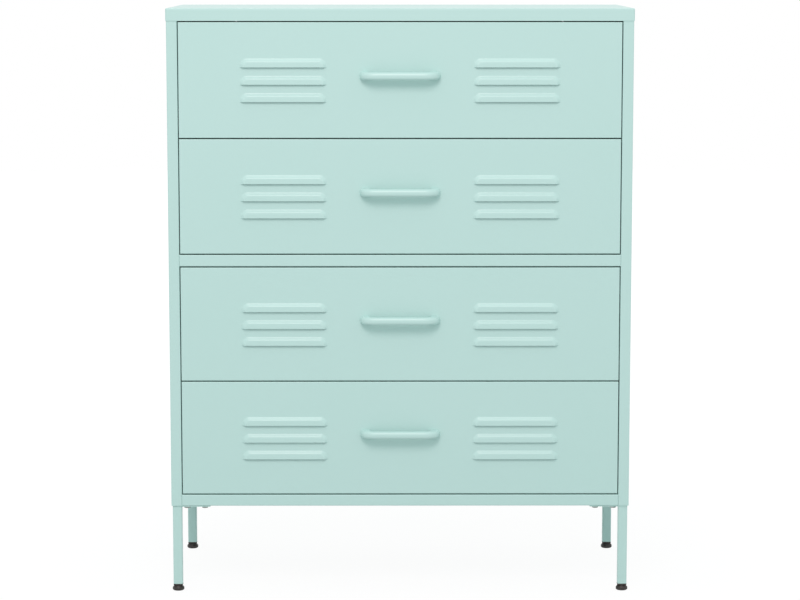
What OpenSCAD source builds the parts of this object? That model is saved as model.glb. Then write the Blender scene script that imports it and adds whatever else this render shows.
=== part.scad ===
// Small steel cabinet with four drawers on square tube legs.
// X runs across the front, Y from the front to the back, and Z up from the floor.
// The origin is on the floor under the middle of the whole outline, grips included.
// The drawers are numbered from the top down.

/* [Case] */
// Width over the top cap
case_w = 800; // [620:1:1000]
// Depth over the top cap
case_d = 350; // [300:1:520]
// Height from the floor to the top
case_h = 1015; // [860:1:1300]
// Height of the folded lip round the top cap
cap_lip = 21.5; // [16:0.5:40]
// Sheet of the top cap
cap_sheet = 1; // [0.8:0.1:2]
// Depth of the return under the cap's front lip
cap_return = 12; // [6:1:14]
// Sheet of the side panels, bottom panel and rail
case_sheet = 0.8; // [0.6:0.1:1.5]
// Sheet of the back panel
back_sheet = 0.7; // [0.5:0.1:1.2]
// Width of the stile that shows beside the drawers
stile_w = 18.5; // [16:0.5:40]
// Height of the rail between the two bays
mid_rail_h = 20; // [12:0.5:50]
// Height of the rail under the lowest drawer
bottom_rail_h = 19.5; // [12:0.5:50]
// Depth of both rails
rail_d = 25; // [18:1:32]
// Height of the upturned sides of the bottom panel
pan_flange_h = 18; // [8:1:24]
// Gap between sheets that meet without a weld
fit_gap = 0.1; // [0.05:0.05:0.3]

/* [Legs and feet] */
// Height of the bottom panel over the floor
leg_h = 152; // [90:1:250]
// Outer width of the square leg tube
leg_w = 16; // [15:0.5:20]
// Wall of the leg tube
leg_wall = 1.2; // [1:0.1:2]
// Outer corner radius of the leg tube
leg_corner = 2; // [1:0.5:4]
// Inset of the leg from the faces of the case
leg_inset = 2; // [1:0.5:8]
// Length of each arm of the leg's mounting plate
plate_arm = 66; // [58:1:90]
// Width of each arm of the mounting plate
plate_w = 20; // [18:0.5:26]
// Thickness of the mounting plate
plate_t = 2; // [1.5:0.1:4]
// Distance from the leg to the near bolt
bolt_near = 9; // [8:0.5:11]
// Distance from the leg to the far bolt
bolt_far = 40; // [30:1:42]
// Height of the black base of a foot
glide_h = 9; // [6:0.5:14]
// Diameter of the base of a foot
glide_d = 20.5; // [19:0.5:30]
// Height of the collar of the tube insert
collar_h = 3; // [2:0.5:6]
// Length of the insert inside the tube
insert_len = 24; // [18:1:40]
// Diameter of the foot's threaded stud
stud_d = 6; // [5:0.5:8]
// Length of the stud above the base
stud_len = 26; // [20:1:40]
// Height of the stud's head over the floor
stud_head_z = 3; // [2:0.5:4]
// Thickness of the stud's head
stud_head_h = 4; // [3:0.5:4]
// Bevel under the base
glide_bevel = 2; // [1:0.5:3]
// Height of the sloping shoulder of the base
glide_shoulder = 3; // [1:0.5:3]

/* [Drawer fronts] */
// Gap over, under and between the fronts
front_gap = 2; // [1.2:0.1:4]
// Gap at each side of a front
side_gap = 1.5; // [1:0.1:3]
// Sheet of the fronts
front_sheet = 0.8; // [0.6:0.1:1.2]
// Depth of the folded front
front_d = 15; // [13:0.5:20]
// Height of the front's upper and lower lips, which the tray is screwed to
front_lip = 30; // [26:1:40]
// Width of the front's side lips
side_lip = 10; // [5:0.5:10]

/* [Louvres] */
// Length of a louvre along its slot
louvre_w = 148; // [80:1:190]
// Height of a louvre over its slot
louvre_h = 15; // [12:0.5:19]
// How far a louvre stands out
louvre_reach = 4; // [2:0.1:6]
// Height of the sloping top of a louvre
louvre_slope = 5; // [4:0.5:10]
// Length of each slanted end
louvre_end = 9; // [6:0.5:14]
// Spacing of the slots
louvre_pitch = 29.5; // [22:0.5:38]
// Distance from the middle of the front to the middle of a group
louvre_x = 200; // [180:1:230]

/* [Grips] */
// Length of the grip
handle_w = 138; // [120:1:180]
// Height of the grip
handle_h = 13.5; // [10:0.5:20]
// How far the grip stands out from the front
handle_reach = 22; // [20:0.5:40]
// Thickness of the grip's bar, and half the width of its feet
handle_bar = 8; // [6:0.5:10]
// Straight length at each end of the grip
handle_foot = 2; // [1:0.5:6]
// Length of the outer curve at each end of the grip
handle_run = 27; // [20:1:40]
// Length of the inner curve at each end of the grip
handle_inner_run = 7; // [5:0.5:20]
// Height of the grip's middle over the middle of the front
handle_rise = 7.5; // [-20:0.5:20]

/* [Trays] */
// Sheet of the trays
tray_sheet = 0.7; // [0.5:0.1:1.2]
// Height of the tray's underside over the front's lower edge
tray_lift = 8; // [5:0.5:12]
// Distance from the tray's rim down from the front's upper edge
tray_drop = 14; // [10:0.5:18]
// Room behind the closed tray
tray_back_gap = 32.3; // [20:0.1:60]
// Height of the folded hem along the tray's rim
hem_h = 8; // [5:0.5:12]

/* [Runners] */
// Room for a runner between the tray and the stile
runner_space = 12.5; // [11.5:0.1:20]
// Sheet of the runner members
runner_sheet = 1.2; // [1:0.1:1.5]
// Height of the track over the tray's underside
runner_rise = 6; // [4:0.5:20]
// Height of the web of the member on the case
runner_web_h = 36; // [34:1:50]
// Length of runner that stays engaged when the drawer is open
runner_overlap = 60; // [55:1:150]
// Length of runner that laps each stile or post
runner_lap = 20; // [16:1:40]
// Diameter of a roller
roller_d = 16; // [12:0.5:20]
// Diameter of a roller's pin
pin_d = 5; // [4:0.5:6]
// Diameter of the pin's shoulder and head
pin_head_d = 8; // [7:0.5:10]
// Radial clearance of a roller on its pin
pin_play = 0.05; // [0.02:0.01:0.1]
// Clearance between a roller and its track
track_play = 0.2; // [0.05:0.05:0.3]
// Distance from the runner's front end to the front roller
roller_inset = 12; // [11:0.5:20]
// Gap across the runner between its two members
member_gap = 1.3; // [1:0.1:2]
// Gap in height between the two members
ride_gap = 0.4; // [0.3:0.1:1]
// Play of a roller along its pin, at each side
axle_play = 0.2; // [0.1:0.05:0.4]
// Thickness of a pin's head
pin_head_t = 0.6; // [0.5:0.1:1.5]
// Gap between the rear pin's head and the member on the case
pin_end_gap = 0.5; // [0.3:0.1:1]
// Length of the front pin's shoulder
front_shoulder = 0.6; // [0.5:0.1:1.5]
// Length of the rear pin's shoulder
rear_shoulder = 1.6; // [1.4:0.1:2.5]
// Gap between a roller and its stop
stop_gap = 0.5; // [0.3:0.1:2]
// Gap between a closed front and the ends of its runners
front_clear = 2; // [1:0.5:6]

/* [Fasteners] */
// Diameter of the drawer and runner screws
screw_d = 4; // [3:0.5:5]
// Length of the drawer screws
screw_len = 12; // [10:1:13]
// Length of the runner screws
runner_screw_len = 8; // [5:1:12]
// Diameter of a screw head
screw_head_d = 8; // [6:0.5:9]
// Height of a screw head
screw_head_h = 2.4; // [1.5:0.1:3]
// Distance from a front's end to its outer tray screws
tray_screw_edge = 76; // [40:1:120]
// Diameter of the rivets
rivet_d = 4; // [3:0.5:5]
// Diameter of a rivet's outer head
rivet_head_d = 7.2; // [6:0.1:9]
// Diameter of a rivet's set end inside the case
rivet_tail_d = 5.6; // [5.4:0.1:7]
// Height of a rivet's outer head
rivet_head_h = 0.9; // [0.6:0.1:1]
// Height of a rivet's set end inside the case
rivet_tail_h = 2.5; // [1.5:0.5:4]
// Distance from the back panel's upper and lower ends to the nearest side rivets
rivet_row_edge = 40; // [30:1:80]
// Distance from the posts to the outer rivets along the back panel's lower edge
rivet_base_edge = 150; // [60:5:240]
// Diameter of the leg bolts
bolt_d = 6; // [5:0.5:6]
// Width across the flats of a leg bolt's head and nut
bolt_flats = 10; // [8:0.5:10]
// Height of a leg bolt's head
bolt_head_h = 3.5; // [2.5:0.5:5]
// Height of a weld nut
nut_h = 5; // [4:0.5:8]
// Length of a leg bolt that shows over its nut
bolt_tip = 1; // [0.5:0.5:3]
// Clearance between a fastener and its hole, on the radius
hole_play = 0.15; // [0.05:0.05:0.4]
// Clearance between a thread and its nut, on the radius
thread_play = 0.05; // [0.02:0.01:0.1]
// Diameter of the two holes for fixing the back to a wall
wall_hole_d = 6; // [4:0.5:8]
// Distance between the wall holes
wall_hole_span = 600; // [300:10:600]

/* [Hidden] */
$fn = 48;

mint = "#BEDED9";
zinc = "#B9BDC0";
nylon = "#E9E7DF";
black = "#2C2A28";

// Faces of the case
body_half = case_w / 2 - cap_sheet;
open_half = body_half - stile_w;
front_y = -(case_d - cap_sheet - handle_reach) / 2;
body_back = front_y + case_d - 2 * cap_sheet;
flange_back = body_back - back_sheet;
wall_top = case_h - cap_sheet;
bay_h = (case_h - leg_h - cap_lip - mid_rail_h - bottom_rail_h) / 2;
mid_rail_z = leg_h + bottom_rail_h + bay_h;

// Rivets and the wall's screws
rivet_hole_d = rivet_d + 2 * hole_play;
rivet_low = leg_h + rivet_row_edge;
rivet_high = case_h - cap_lip - rivet_row_edge;
rivet_rows = [for (i = [0:4]) rivet_low + i * (rivet_high - rivet_low) / 4];
back_rivet_x = (open_half + body_half) / 2;
bottom_rivet_x = [rivet_base_edge - open_half, 0, open_half - rivet_base_edge];
bottom_rivet_z = leg_h + pan_flange_h / 2;
mid_rivet_y = front_y + rail_d / 2;
wall_hole_z = case_h - cap_lip - wall_hole_d;

// Drawers
front_w = 2 * (open_half - side_gap);
front_h = (bay_h - 3 * front_gap) / 2;
tray_half = open_half - runner_space;
tray_h = front_h - tray_lift - tray_drop;
tray_y = front_y + front_d;
tray_d = flange_back - tray_y - tray_back_gap;
louvre_group_h = 2 * louvre_pitch + louvre_h;
handle_screw_x = handle_w / 2 - handle_bar;
handle_out = handle_reach - handle_foot;
tray_screw_x = [tray_screw_edge - front_w / 2, 0, front_w / 2 - tray_screw_edge];
tray_screw_low = (tray_lift + front_lip) / 2;
tray_screw_high = front_h - (tray_drop + front_lip) / 2;

// Runners, in a frame with u across from the tray, and v up from the track
runner_y = tray_y + front_clear;
runner_len = tray_d;
travel = tray_d - runner_overlap;
roller_r = roller_d / 2;
channel_h = roller_d + 2 * track_play;
web_u = runner_space - runner_sheet;
track_u = runner_sheet + member_gap;
ride_v = channel_h + runner_sheet + ride_gap;
ride_w = web_u - member_gap;
front_axle_v = ride_v - track_play / 2 - roller_r;
rear_axle_v = track_play + roller_r;
roller_w = web_u - runner_sheet - rear_shoulder - 2 * axle_play - pin_head_t - pin_end_gap;
rear_roller_y = runner_len - runner_sheet - stop_gap - roller_r;
front_stop_y = rear_roller_y - travel - roller_r - stop_gap - runner_sheet;
track_cut = roller_inset + roller_r + front_clear;
runner_screw_v = (ride_v + runner_sheet + runner_web_h) / 2;
stile_return = runner_y + runner_lap - front_y;
post_return = flange_back - (runner_y + runner_len) + runner_lap;
return_z = leg_h + case_sheet + nut_h + 2 * bolt_tip;

// Legs
leg_x = body_half - leg_inset - leg_w;
leg_front_y = front_y + leg_inset;
leg_back_y = body_back - leg_inset;
foot_x = leg_x + leg_w / 2;
foot_ys = [leg_front_y + leg_w / 2, leg_back_y - leg_w / 2];
tube_z = glide_h + collar_h;

function front_z(n) = (n <= 2 ? mid_rail_z + mid_rail_h : leg_h + bottom_rail_h)
    + front_gap + (n % 2) * (front_h + front_gap);
function tray_z(n) = front_z(n) + tray_lift;
function track_z(n) = tray_z(n) + runner_rise;
function handle_z(n) = front_z(n) + front_h / 2 + handle_rise;

// Shapes used more than once

module both_sides() {
    children();
    mirror([1, 0, 0]) children();
}

// A profile in X and Z, drawn out along Y
module along_y(length) {
    translate([0, length, 0]) rotate([90, 0, 0]) linear_extrude(length) children();
}

// A round bar along X, from the origin
module bar_x(d, length) {
    rotate([0, 90, 0]) cylinder(d = d, h = length);
}

// A round bar along Y, from the origin
module bar_y(d, length) {
    rotate([-90, 0, 0]) cylinder(d = d, h = length);
}

// A hexagon with two flats facing along X
module hexagon(flats, h) {
    rotate(30) cylinder(r = flats / sqrt(3), h = h, $fn = 6);
}

module rounded_square(w, r) {
    translate([r, 0]) square([w - 2 * r, w]);
    translate([0, r]) square([w, w - 2 * r]);
    for (x = [r, w - r], y = [r, w - r]) translate([x, y]) circle(r);
}

// A screw whose head sits at the origin and whose shank points to -Z
module screw(length) {
    cylinder(d = screw_head_d, h = screw_head_h);
    translate([0, 0, -length]) cylinder(d = screw_d, h = length + screw_head_h / 2);
}

// A blind rivet with its outer head at the origin, through sheets of the given grip to -Z
module rivet(grip) {
    cylinder(d = rivet_head_d, h = rivet_head_h);
    translate([0, 0, -grip - rivet_tail_h])
        cylinder(d = rivet_d, h = rivet_tail_h + grip + rivet_head_h / 2);
    translate([0, 0, -grip - rivet_tail_h]) cylinder(d = rivet_tail_d, h = rivet_tail_h);
}

// Case

module top_cap() color(mint) {
    difference() {
        translate([-case_w / 2, front_y - cap_sheet, case_h - cap_lip])
            cube([case_w, case_d, cap_lip]);
        translate([-body_half, front_y, case_h - cap_lip - 1])
            cube([2 * body_half, body_back - front_y, cap_lip + 1 - cap_sheet]);
    }
    translate([-open_half + fit_gap, front_y, case_h - cap_lip])
        cube([2 * (open_half - fit_gap), cap_return, cap_sheet]);
}

module side_panel() color(mint) difference() {
    union() {
        translate([body_half - case_sheet, front_y, leg_h])
            cube([case_sheet, flange_back - front_y, wall_top - leg_h]);
        for (y = [front_y, flange_back - case_sheet]) translate([open_half, y, leg_h])
            cube([stile_w, case_sheet, wall_top - leg_h]);
        // Returns that carry the runners
        translate([open_half, front_y, return_z])
            cube([case_sheet, stile_return, wall_top - return_z]);
        translate([open_half, flange_back - post_return, return_z])
            cube([case_sheet, post_return, wall_top - return_z]);
        // Flange under the cap
        translate([open_half, front_y, wall_top - case_sheet])
            cube([stile_w, flange_back - front_y, case_sheet]);
    }
    for (z = rivet_rows) translate([back_rivet_x, flange_back - 2 * case_sheet, z])
        bar_y(rivet_hole_d, 3 * case_sheet);
    translate([open_half - case_sheet, mid_rivet_y, mid_rail_z + mid_rail_h / 2])
        bar_x(rivet_hole_d, 3 * case_sheet);
    for (n = [1:4], y = [runner_lap / 2, runner_len - runner_lap / 2])
        translate([open_half - case_sheet, runner_y + y, track_z(n) + runner_screw_v])
            bar_x(screw_d + 2 * thread_play, 3 * case_sheet);
}

module back_panel() color(mint) difference() {
    translate([-body_half, flange_back, leg_h])
        cube([2 * body_half, back_sheet, wall_top - leg_h]);
    both_sides() for (z = rivet_rows) translate([back_rivet_x, flange_back - 1, z])
        bar_y(rivet_hole_d, back_sheet + 2);
    for (x = bottom_rivet_x) translate([x, flange_back - 1, bottom_rivet_z])
        bar_y(rivet_hole_d, back_sheet + 2);
    for (x = [-wall_hole_span / 2, wall_hole_span / 2])
        translate([x, flange_back - 1, wall_hole_z]) bar_y(wall_hole_d, back_sheet + 2);
}

// The places of a leg's bolts, from the leg's inner corner
module at_bolts() {
    for (sx = [-1, 1], back = [0, 1]) {
        y0 = back == 0 ? leg_front_y : leg_back_y;
        sy = back == 0 ? 1 : -1;
        for (reach = [bolt_near, bolt_far]) {
            translate([sx * (leg_x - reach), y0 + sy * plate_w / 2, leg_h]) children();
            translate([sx * (leg_x + leg_w - plate_w / 2), y0 + sy * (leg_w + reach), leg_h])
                children();
        }
    }
}

// A pan between the side panels, whose front edge is the rail under the lowest drawer
module bottom_panel() color(mint) difference() {
    union() {
        floor_half = body_half - case_sheet - fit_gap;
        rail_half = open_half - fit_gap;
        translate([-rail_half, front_y, leg_h])
            cube([2 * rail_half, flange_back - front_y, case_sheet]);
        floor_y = front_y + case_sheet + fit_gap;
        floor_d = flange_back - case_sheet - fit_gap - floor_y;
        translate([-floor_half, floor_y, leg_h]) cube([2 * floor_half, floor_d, case_sheet]);
        both_sides() translate([floor_half - case_sheet, floor_y, leg_h])
            cube([case_sheet, floor_d, pan_flange_h]);
        translate([-rail_half, front_y, leg_h]) cube([2 * rail_half, case_sheet, bottom_rail_h]);
        translate([-rail_half, front_y, leg_h + bottom_rail_h - case_sheet])
            cube([2 * rail_half, rail_d, case_sheet]);
        translate([-rail_half, flange_back - case_sheet, leg_h])
            cube([2 * rail_half, case_sheet, pan_flange_h]);
    }
    at_bolts() cylinder(d = bolt_d + 2 * hole_play, h = 3 * case_sheet, center = true);
    for (x = bottom_rivet_x) translate([x, flange_back - 2 * case_sheet, bottom_rivet_z])
        bar_y(rivet_hole_d, 3 * case_sheet);
}

// A channel between the stiles, with an end plate riveted to each
module mid_rail() color(mint) {
    rail_half = open_half - fit_gap;
    difference() {
        translate([-rail_half, front_y, mid_rail_z]) cube([2 * rail_half, rail_d, mid_rail_h]);
        translate([-rail_half + case_sheet, front_y + case_sheet, mid_rail_z + case_sheet])
            cube([2 * (rail_half - case_sheet), rail_d, mid_rail_h - 2 * case_sheet]);
        both_sides()
            translate([rail_half - 2 * case_sheet, mid_rivet_y, mid_rail_z + mid_rail_h / 2])
            bar_x(rivet_hole_d, 3 * case_sheet);
    }
}

module pop_rivets() color(zinc) {
    both_sides() for (z = rivet_rows) translate([back_rivet_x, body_back, z])
        rotate([-90, 0, 0]) rivet(back_sheet + case_sheet);
    for (x = bottom_rivet_x) translate([x, body_back, bottom_rivet_z])
        rotate([-90, 0, 0]) rivet(back_sheet + case_sheet);
    both_sides()
        translate([open_half - fit_gap - case_sheet, mid_rivet_y, mid_rail_z + mid_rail_h / 2])
        rotate([0, -90, 0]) rivet(2 * case_sheet + fit_gap);
}

// Legs and feet

// The front right leg: a tube with an L-shaped plate welded on top
module leg() color(mint) difference() {
    union() {
        translate([leg_x, leg_front_y, tube_z]) linear_extrude(leg_h - plate_t - tube_z)
            difference() {
                rounded_square(leg_w, leg_corner);
                translate([leg_wall, leg_wall])
                    rounded_square(leg_w - 2 * leg_wall, leg_corner - leg_wall / 2);
            }
        translate([leg_x + leg_w - plate_arm, leg_front_y, leg_h - plate_t])
            cube([plate_arm, plate_w, plate_t]);
        translate([leg_x + leg_w - plate_w, leg_front_y, leg_h - plate_t])
            cube([plate_w, plate_arm, plate_t]);
    }
    at_bolts() cylinder(d = bolt_d + 2 * hole_play, h = 3 * plate_t, center = true);
}

// Turns the front right leg's place into the one at side sx and end sy
module at_corner(sx, sy) {
    middle = (leg_front_y + leg_back_y) / 2;
    translate([0, middle, 0]) mirror([sx < 0 ? 1 : 0, 0, 0]) mirror([0, sy > 0 ? 1 : 0, 0])
        translate([0, -middle, 0]) children();
}

module leg_bolts() color(zinc) at_bolts() translate([0, 0, -plate_t - bolt_head_h]) {
    hexagon(bolt_flats, bolt_head_h);
    cylinder(d = bolt_d, h = bolt_head_h + plate_t + case_sheet + nut_h + bolt_tip);
}

module weld_nuts() color(zinc) at_bolts() translate([0, 0, case_sheet]) difference() {
    hexagon(bolt_flats, nut_h);
    translate([0, 0, -1]) cylinder(d = bolt_d + 2 * thread_play, h = nut_h + 2);
}

module leg_inserts() color(black) {
    plug_w = leg_w - 2 * leg_wall - 2 * fit_gap;
    for (sx = [-1, 1], y = foot_ys) translate([sx * foot_x, y, glide_h + fit_gap]) difference() {
        union() {
            translate([-leg_w / 2, -leg_w / 2]) linear_extrude(collar_h - fit_gap)
                rounded_square(leg_w, leg_corner);
            translate([-plug_w / 2, -plug_w / 2]) linear_extrude(collar_h + insert_len)
                rounded_square(plug_w, leg_corner - leg_wall / 2);
        }
        translate([0, 0, -1])
            cylinder(d = stud_d + 2 * thread_play, h = collar_h + insert_len + 2);
    }
}

// The black base of a foot, turned round the stud's hexagon head
module foot_base(sx, end) color(black) translate([sx * foot_x, foot_ys[end], 0]) difference() {
    rotate_extrude() polygon([
        [0, 0], [glide_d / 2 - glide_bevel, 0], [glide_d / 2, glide_bevel],
        [glide_d / 2, glide_h - glide_shoulder], [leg_w / 2 - 1, glide_h], [0, glide_h]
    ]);
    translate([0, 0, stud_head_z]) hexagon(bolt_flats + fit_gap, stud_head_h);
    translate([0, 0, stud_head_z]) cylinder(d = stud_d + fit_gap, h = glide_h);
}

module foot_stud(sx, end) color(zinc) translate([sx * foot_x, foot_ys[end], stud_head_z]) {
    hexagon(bolt_flats, stud_head_h);
    cylinder(d = stud_d, h = glide_h - stud_head_z + stud_len);
}

// Runners

// A pin along X from the origin: a shoulder, the journal and a head
module roller_pin(shoulder) {
    bar_x(pin_head_d, shoulder);
    bar_x(pin_d, shoulder + roller_w + 2 * axle_play + pin_head_t);
    translate([shoulder + roller_w + 2 * axle_play, 0, 0]) bar_x(pin_head_d, pin_head_t);
}

module roller() color(nylon) difference() {
    bar_x(roller_d, roller_w);
    translate([-1, 0, 0]) bar_x(pin_d + 2 * pin_play, roller_w + 2);
}

// Moves the runner's frame to drawer n on the right-hand side
module at_runner(n) {
    translate([tray_half, runner_y, track_z(n)]) children();
}

// The fixed members: a channel for the rear roller below a web that is screwed to the case
module case_runners(n) color(zinc) both_sides() at_runner(n) difference() {
    union() {
        along_y(runner_len) polygon([
            [track_u, -runner_sheet], [runner_space, -runner_sheet],
            [runner_space, runner_web_h], [web_u, runner_web_h], [web_u, 0], [track_u, 0]
        ]);
        translate([track_u, track_cut, channel_h])
            cube([runner_space - track_u, runner_len - track_cut, runner_sheet]);
        for (y = [front_stop_y, runner_len - runner_sheet])
            translate([track_u, y, -runner_sheet / 2])
            cube([web_u - track_u + runner_sheet / 2, runner_sheet, channel_h + runner_sheet]);
        translate([web_u, roller_inset, front_axle_v]) mirror([1, 0, 0])
            roller_pin(front_shoulder);
    }
    for (y = [runner_lap / 2, runner_len - runner_lap / 2])
        translate([web_u - 1, y, runner_screw_v])
            bar_x(screw_d + 2 * hole_play, runner_sheet + 2);
}

module runner_screws() color(zinc) both_sides()
    for (n = [1:4], y = [runner_lap / 2, runner_len - runner_lap / 2])
        at_runner(n) translate([web_u, y, runner_screw_v]) rotate([0, -90, 0])
            screw(runner_screw_len);

module front_rollers(n) both_sides() at_runner(n)
    translate([web_u - front_shoulder - axle_play - roller_w, roller_inset, front_axle_v])
    roller();

// The members welded to the tray: a web with a rail that rides on the front roller
module drawer_runners(n) color(zinc) both_sides() at_runner(n) {
    along_y(runner_len - front_clear) polygon([
        [0, -runner_sheet], [runner_sheet, -runner_sheet], [runner_sheet, ride_v],
        [ride_w, ride_v], [ride_w, ride_v + runner_sheet], [0, ride_v + runner_sheet]
    ]);
    translate([runner_sheet, rear_roller_y, rear_axle_v]) roller_pin(rear_shoulder);
}

module rear_rollers(n) both_sides() at_runner(n)
    translate([runner_sheet + rear_shoulder + axle_play, rear_roller_y, rear_axle_v])
    roller();

// Drawers

// A louvre's solid form, shrunk by inset on every side that is sheet
module louvre_form(inset) intersection() {
    reach = louvre_reach - inset;
    half = louvre_w / 2 - inset;
    top = louvre_h - inset;
    slope = louvre_slope;
    // From the side: a sloping top and a flat face down to the slot
    translate([-half, 0, 0]) rotate([90, 0, 90]) linear_extrude(2 * half) polygon([
        [front_sheet, 0], [-reach, 0], [-reach, top - slope], [0, top], [front_sheet, top]
    ]);
    // From the front: slanted upper corners
    translate([0, front_sheet, 0]) rotate([90, 0, 0]) linear_extrude(reach + front_sheet) polygon([
        [-half, 0], [half, 0], [half, top - slope], [half - louvre_end, top],
        [louvre_end - half, top], [-half, top - slope]
    ]);
    // From above: ends that slope back to the sheet
    linear_extrude(louvre_h) polygon([
        [-half, front_sheet], [-half, 0], [-half + louvre_slope, -reach],
        [half - louvre_slope, -reach], [half, 0], [half, front_sheet]
    ]);
}

module at_louvres(n) {
    slot_z = front_z(n) + (front_h - louvre_group_h) / 2;
    for (sx = [-1, 1], row = [0:2])
        translate([sx * louvre_x, front_y, slot_z + row * louvre_pitch]) children();
}

module at_tray_screws(n) {
    for (x = tray_screw_x, z = [tray_screw_low, tray_screw_high])
        translate([x, tray_y, front_z(n) + z]) children();
}

module at_handle_screws(n) {
    for (sx = [-1, 1])
        translate([sx * handle_screw_x, front_y + front_sheet, handle_z(n)]) children();
}

// A folded front with six louvres, open at the back between its lips
module drawer_front(n) color(mint) difference() {
    union() {
        difference() {
            translate([-front_w / 2, front_y, front_z(n)]) cube([front_w, front_d, front_h]);
            translate([-front_w / 2 + front_sheet, front_y + front_sheet, front_z(n) + front_sheet])
                cube([front_w - 2 * front_sheet, front_d - 2 * front_sheet,
                    front_h - 2 * front_sheet]);
            translate([-front_w / 2 + side_lip, front_y + front_sheet, front_z(n) + front_lip])
                cube([front_w - 2 * side_lip, front_d, front_h - 2 * front_lip]);
        }
        at_louvres(n) louvre_form(0);
    }
    at_louvres(n) translate([0, 0, -fit_gap]) louvre_form(front_sheet);
    at_louvres(n) translate([-louvre_w / 2, fit_gap - louvre_reach, -1])
        cube([louvre_w, louvre_reach - fit_gap, 1]);
    at_tray_screws(n) translate([0, -2 * front_sheet, 0])
        bar_y(screw_d + 2 * thread_play, 3 * front_sheet);
    at_handle_screws(n) translate([0, -2 * front_sheet, 0])
        bar_y(screw_d + 2 * hole_play, 3 * front_sheet);
}

// An open box with a doubled hem along the side and back rims
module drawer_tray(n) color(mint) difference() {
    translate([-tray_half, tray_y, tray_z(n)]) cube([2 * tray_half, tray_d, tray_h]);
    translate([-tray_half + tray_sheet, tray_y + tray_sheet, tray_z(n) + tray_sheet])
        cube([2 * (tray_half - tray_sheet), tray_d - 2 * tray_sheet, tray_h - hem_h - tray_sheet]);
    translate([-tray_half + 2 * tray_sheet, tray_y + tray_sheet, tray_z(n) + tray_h - hem_h - 1])
        cube([2 * (tray_half - 2 * tray_sheet), tray_d - 3 * tray_sheet, hem_h + 2]);
    at_tray_screws(n) translate([0, -1, 0]) bar_y(screw_d + 2 * hole_play, tray_sheet + 2);
}

// A bow with curved ends, drawn from above: run is a curve's length, out its reach
function bow(half, run, out) = concat(
    [[-half, 0]],
    [for (a = [0:9:90]) [run - half - run * cos(a), -handle_foot - out * sin(a)]],
    [for (a = [0:9:90]) [half - run + run * sin(a), -handle_foot - out * cos(a)]],
    [[half, 0]]
);

module drawer_handle(n) color(mint) difference() {
    translate([0, front_y, handle_z(n) - handle_h / 2]) linear_extrude(handle_h) difference() {
        polygon(bow(handle_w / 2, handle_run, handle_out));
        translate([0, 0.01]) polygon(
            bow(handle_w / 2 - 2 * handle_bar, handle_inner_run, handle_out - handle_bar)
        );
    }
    at_handle_screws(n) translate([0, -screw_len - fit_gap, 0])
        bar_y(screw_d + 2 * thread_play, screw_len);
}

module drawer_screws(n) color(zinc) {
    at_tray_screws(n) translate([0, tray_sheet, 0]) rotate([-90, 0, 0]) screw(screw_len);
    at_handle_screws(n) rotate([-90, 0, 0]) screw(screw_len);
}

top_cap();
mirror([1, 0, 0]) side_panel();  // side_panel_left
side_panel();  // side_panel_right
back_panel();
bottom_panel();
mid_rail();
at_corner(-1, -1) leg();  // leg_front_left
at_corner(1, -1) leg();  // leg_front_right
at_corner(-1, 1) leg();  // leg_back_left
at_corner(1, 1) leg();  // leg_back_right
leg_bolts();
weld_nuts();
leg_inserts();
pop_rivets();
runner_screws();
foot_base(-1, 0);  // foot_base_front_left
foot_base(1, 0);  // foot_base_front_right
foot_base(-1, 1);  // foot_base_back_left
foot_base(1, 1);  // foot_base_back_right
foot_stud(-1, 0);  // foot_stud_front_left
foot_stud(1, 0);  // foot_stud_front_right
foot_stud(-1, 1);  // foot_stud_back_left
foot_stud(1, 1);  // foot_stud_back_right
for (n = [1:4]) {
    case_runners(n);
    front_rollers(n);
    drawer_front(n);
    drawer_tray(n);
    drawer_handle(n);
    drawer_runners(n);
    rear_rollers(n);
    drawer_screws(n);
}
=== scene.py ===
"""The looks of a small steel cabinet with four drawers on square tube legs.

X runs across the front, Y from the front to the back, and Z up from the floor. Shapes are
worked out in millimetres, as on a sheet-metal drawing, and become metres when their mesh is
made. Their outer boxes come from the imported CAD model.
"""

import logging
import math
from collections.abc import Callable, Sequence
from dataclasses import dataclass, field
from enum import Enum
from functools import cache, partial

import bmesh
import bpy
from mathutils import Matrix, Vector
from mathutils.geometry import tessellate_polygon

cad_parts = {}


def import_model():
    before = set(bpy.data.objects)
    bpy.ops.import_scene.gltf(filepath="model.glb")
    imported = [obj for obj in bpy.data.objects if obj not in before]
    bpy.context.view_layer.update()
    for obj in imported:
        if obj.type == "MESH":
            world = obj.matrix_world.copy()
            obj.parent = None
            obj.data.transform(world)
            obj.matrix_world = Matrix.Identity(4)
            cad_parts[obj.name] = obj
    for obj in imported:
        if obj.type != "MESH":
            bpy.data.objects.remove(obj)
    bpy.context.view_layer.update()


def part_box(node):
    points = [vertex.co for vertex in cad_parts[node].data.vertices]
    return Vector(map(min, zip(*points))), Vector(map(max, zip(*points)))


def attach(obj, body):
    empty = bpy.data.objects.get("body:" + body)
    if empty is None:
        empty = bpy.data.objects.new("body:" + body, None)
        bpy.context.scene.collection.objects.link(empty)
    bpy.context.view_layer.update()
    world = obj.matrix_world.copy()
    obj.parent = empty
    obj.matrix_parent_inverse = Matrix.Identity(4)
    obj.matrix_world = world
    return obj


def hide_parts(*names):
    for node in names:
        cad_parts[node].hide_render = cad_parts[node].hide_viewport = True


LOG = logging.getLogger("cabinet")
MM = 0.001
WELD = 0.002 * MM  # points closer than this are one point
CREASE = math.radians(35)  # faces that meet at more than this have a hard edge
ARC = 5  # straight pieces in the arc of a fold
SMALL_ARC = 3  # straight pieces in the arc of a small edge
TINY_ARC = 2
SHARP = 0.05  # the radius of a corner that looks sharp
MATHS = "ShaderNodeMath"
WHITE = (1.0, 1.0, 1.0, 1.0)
DRAWERS = range(1, 5)  # their numbers, from the top

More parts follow.
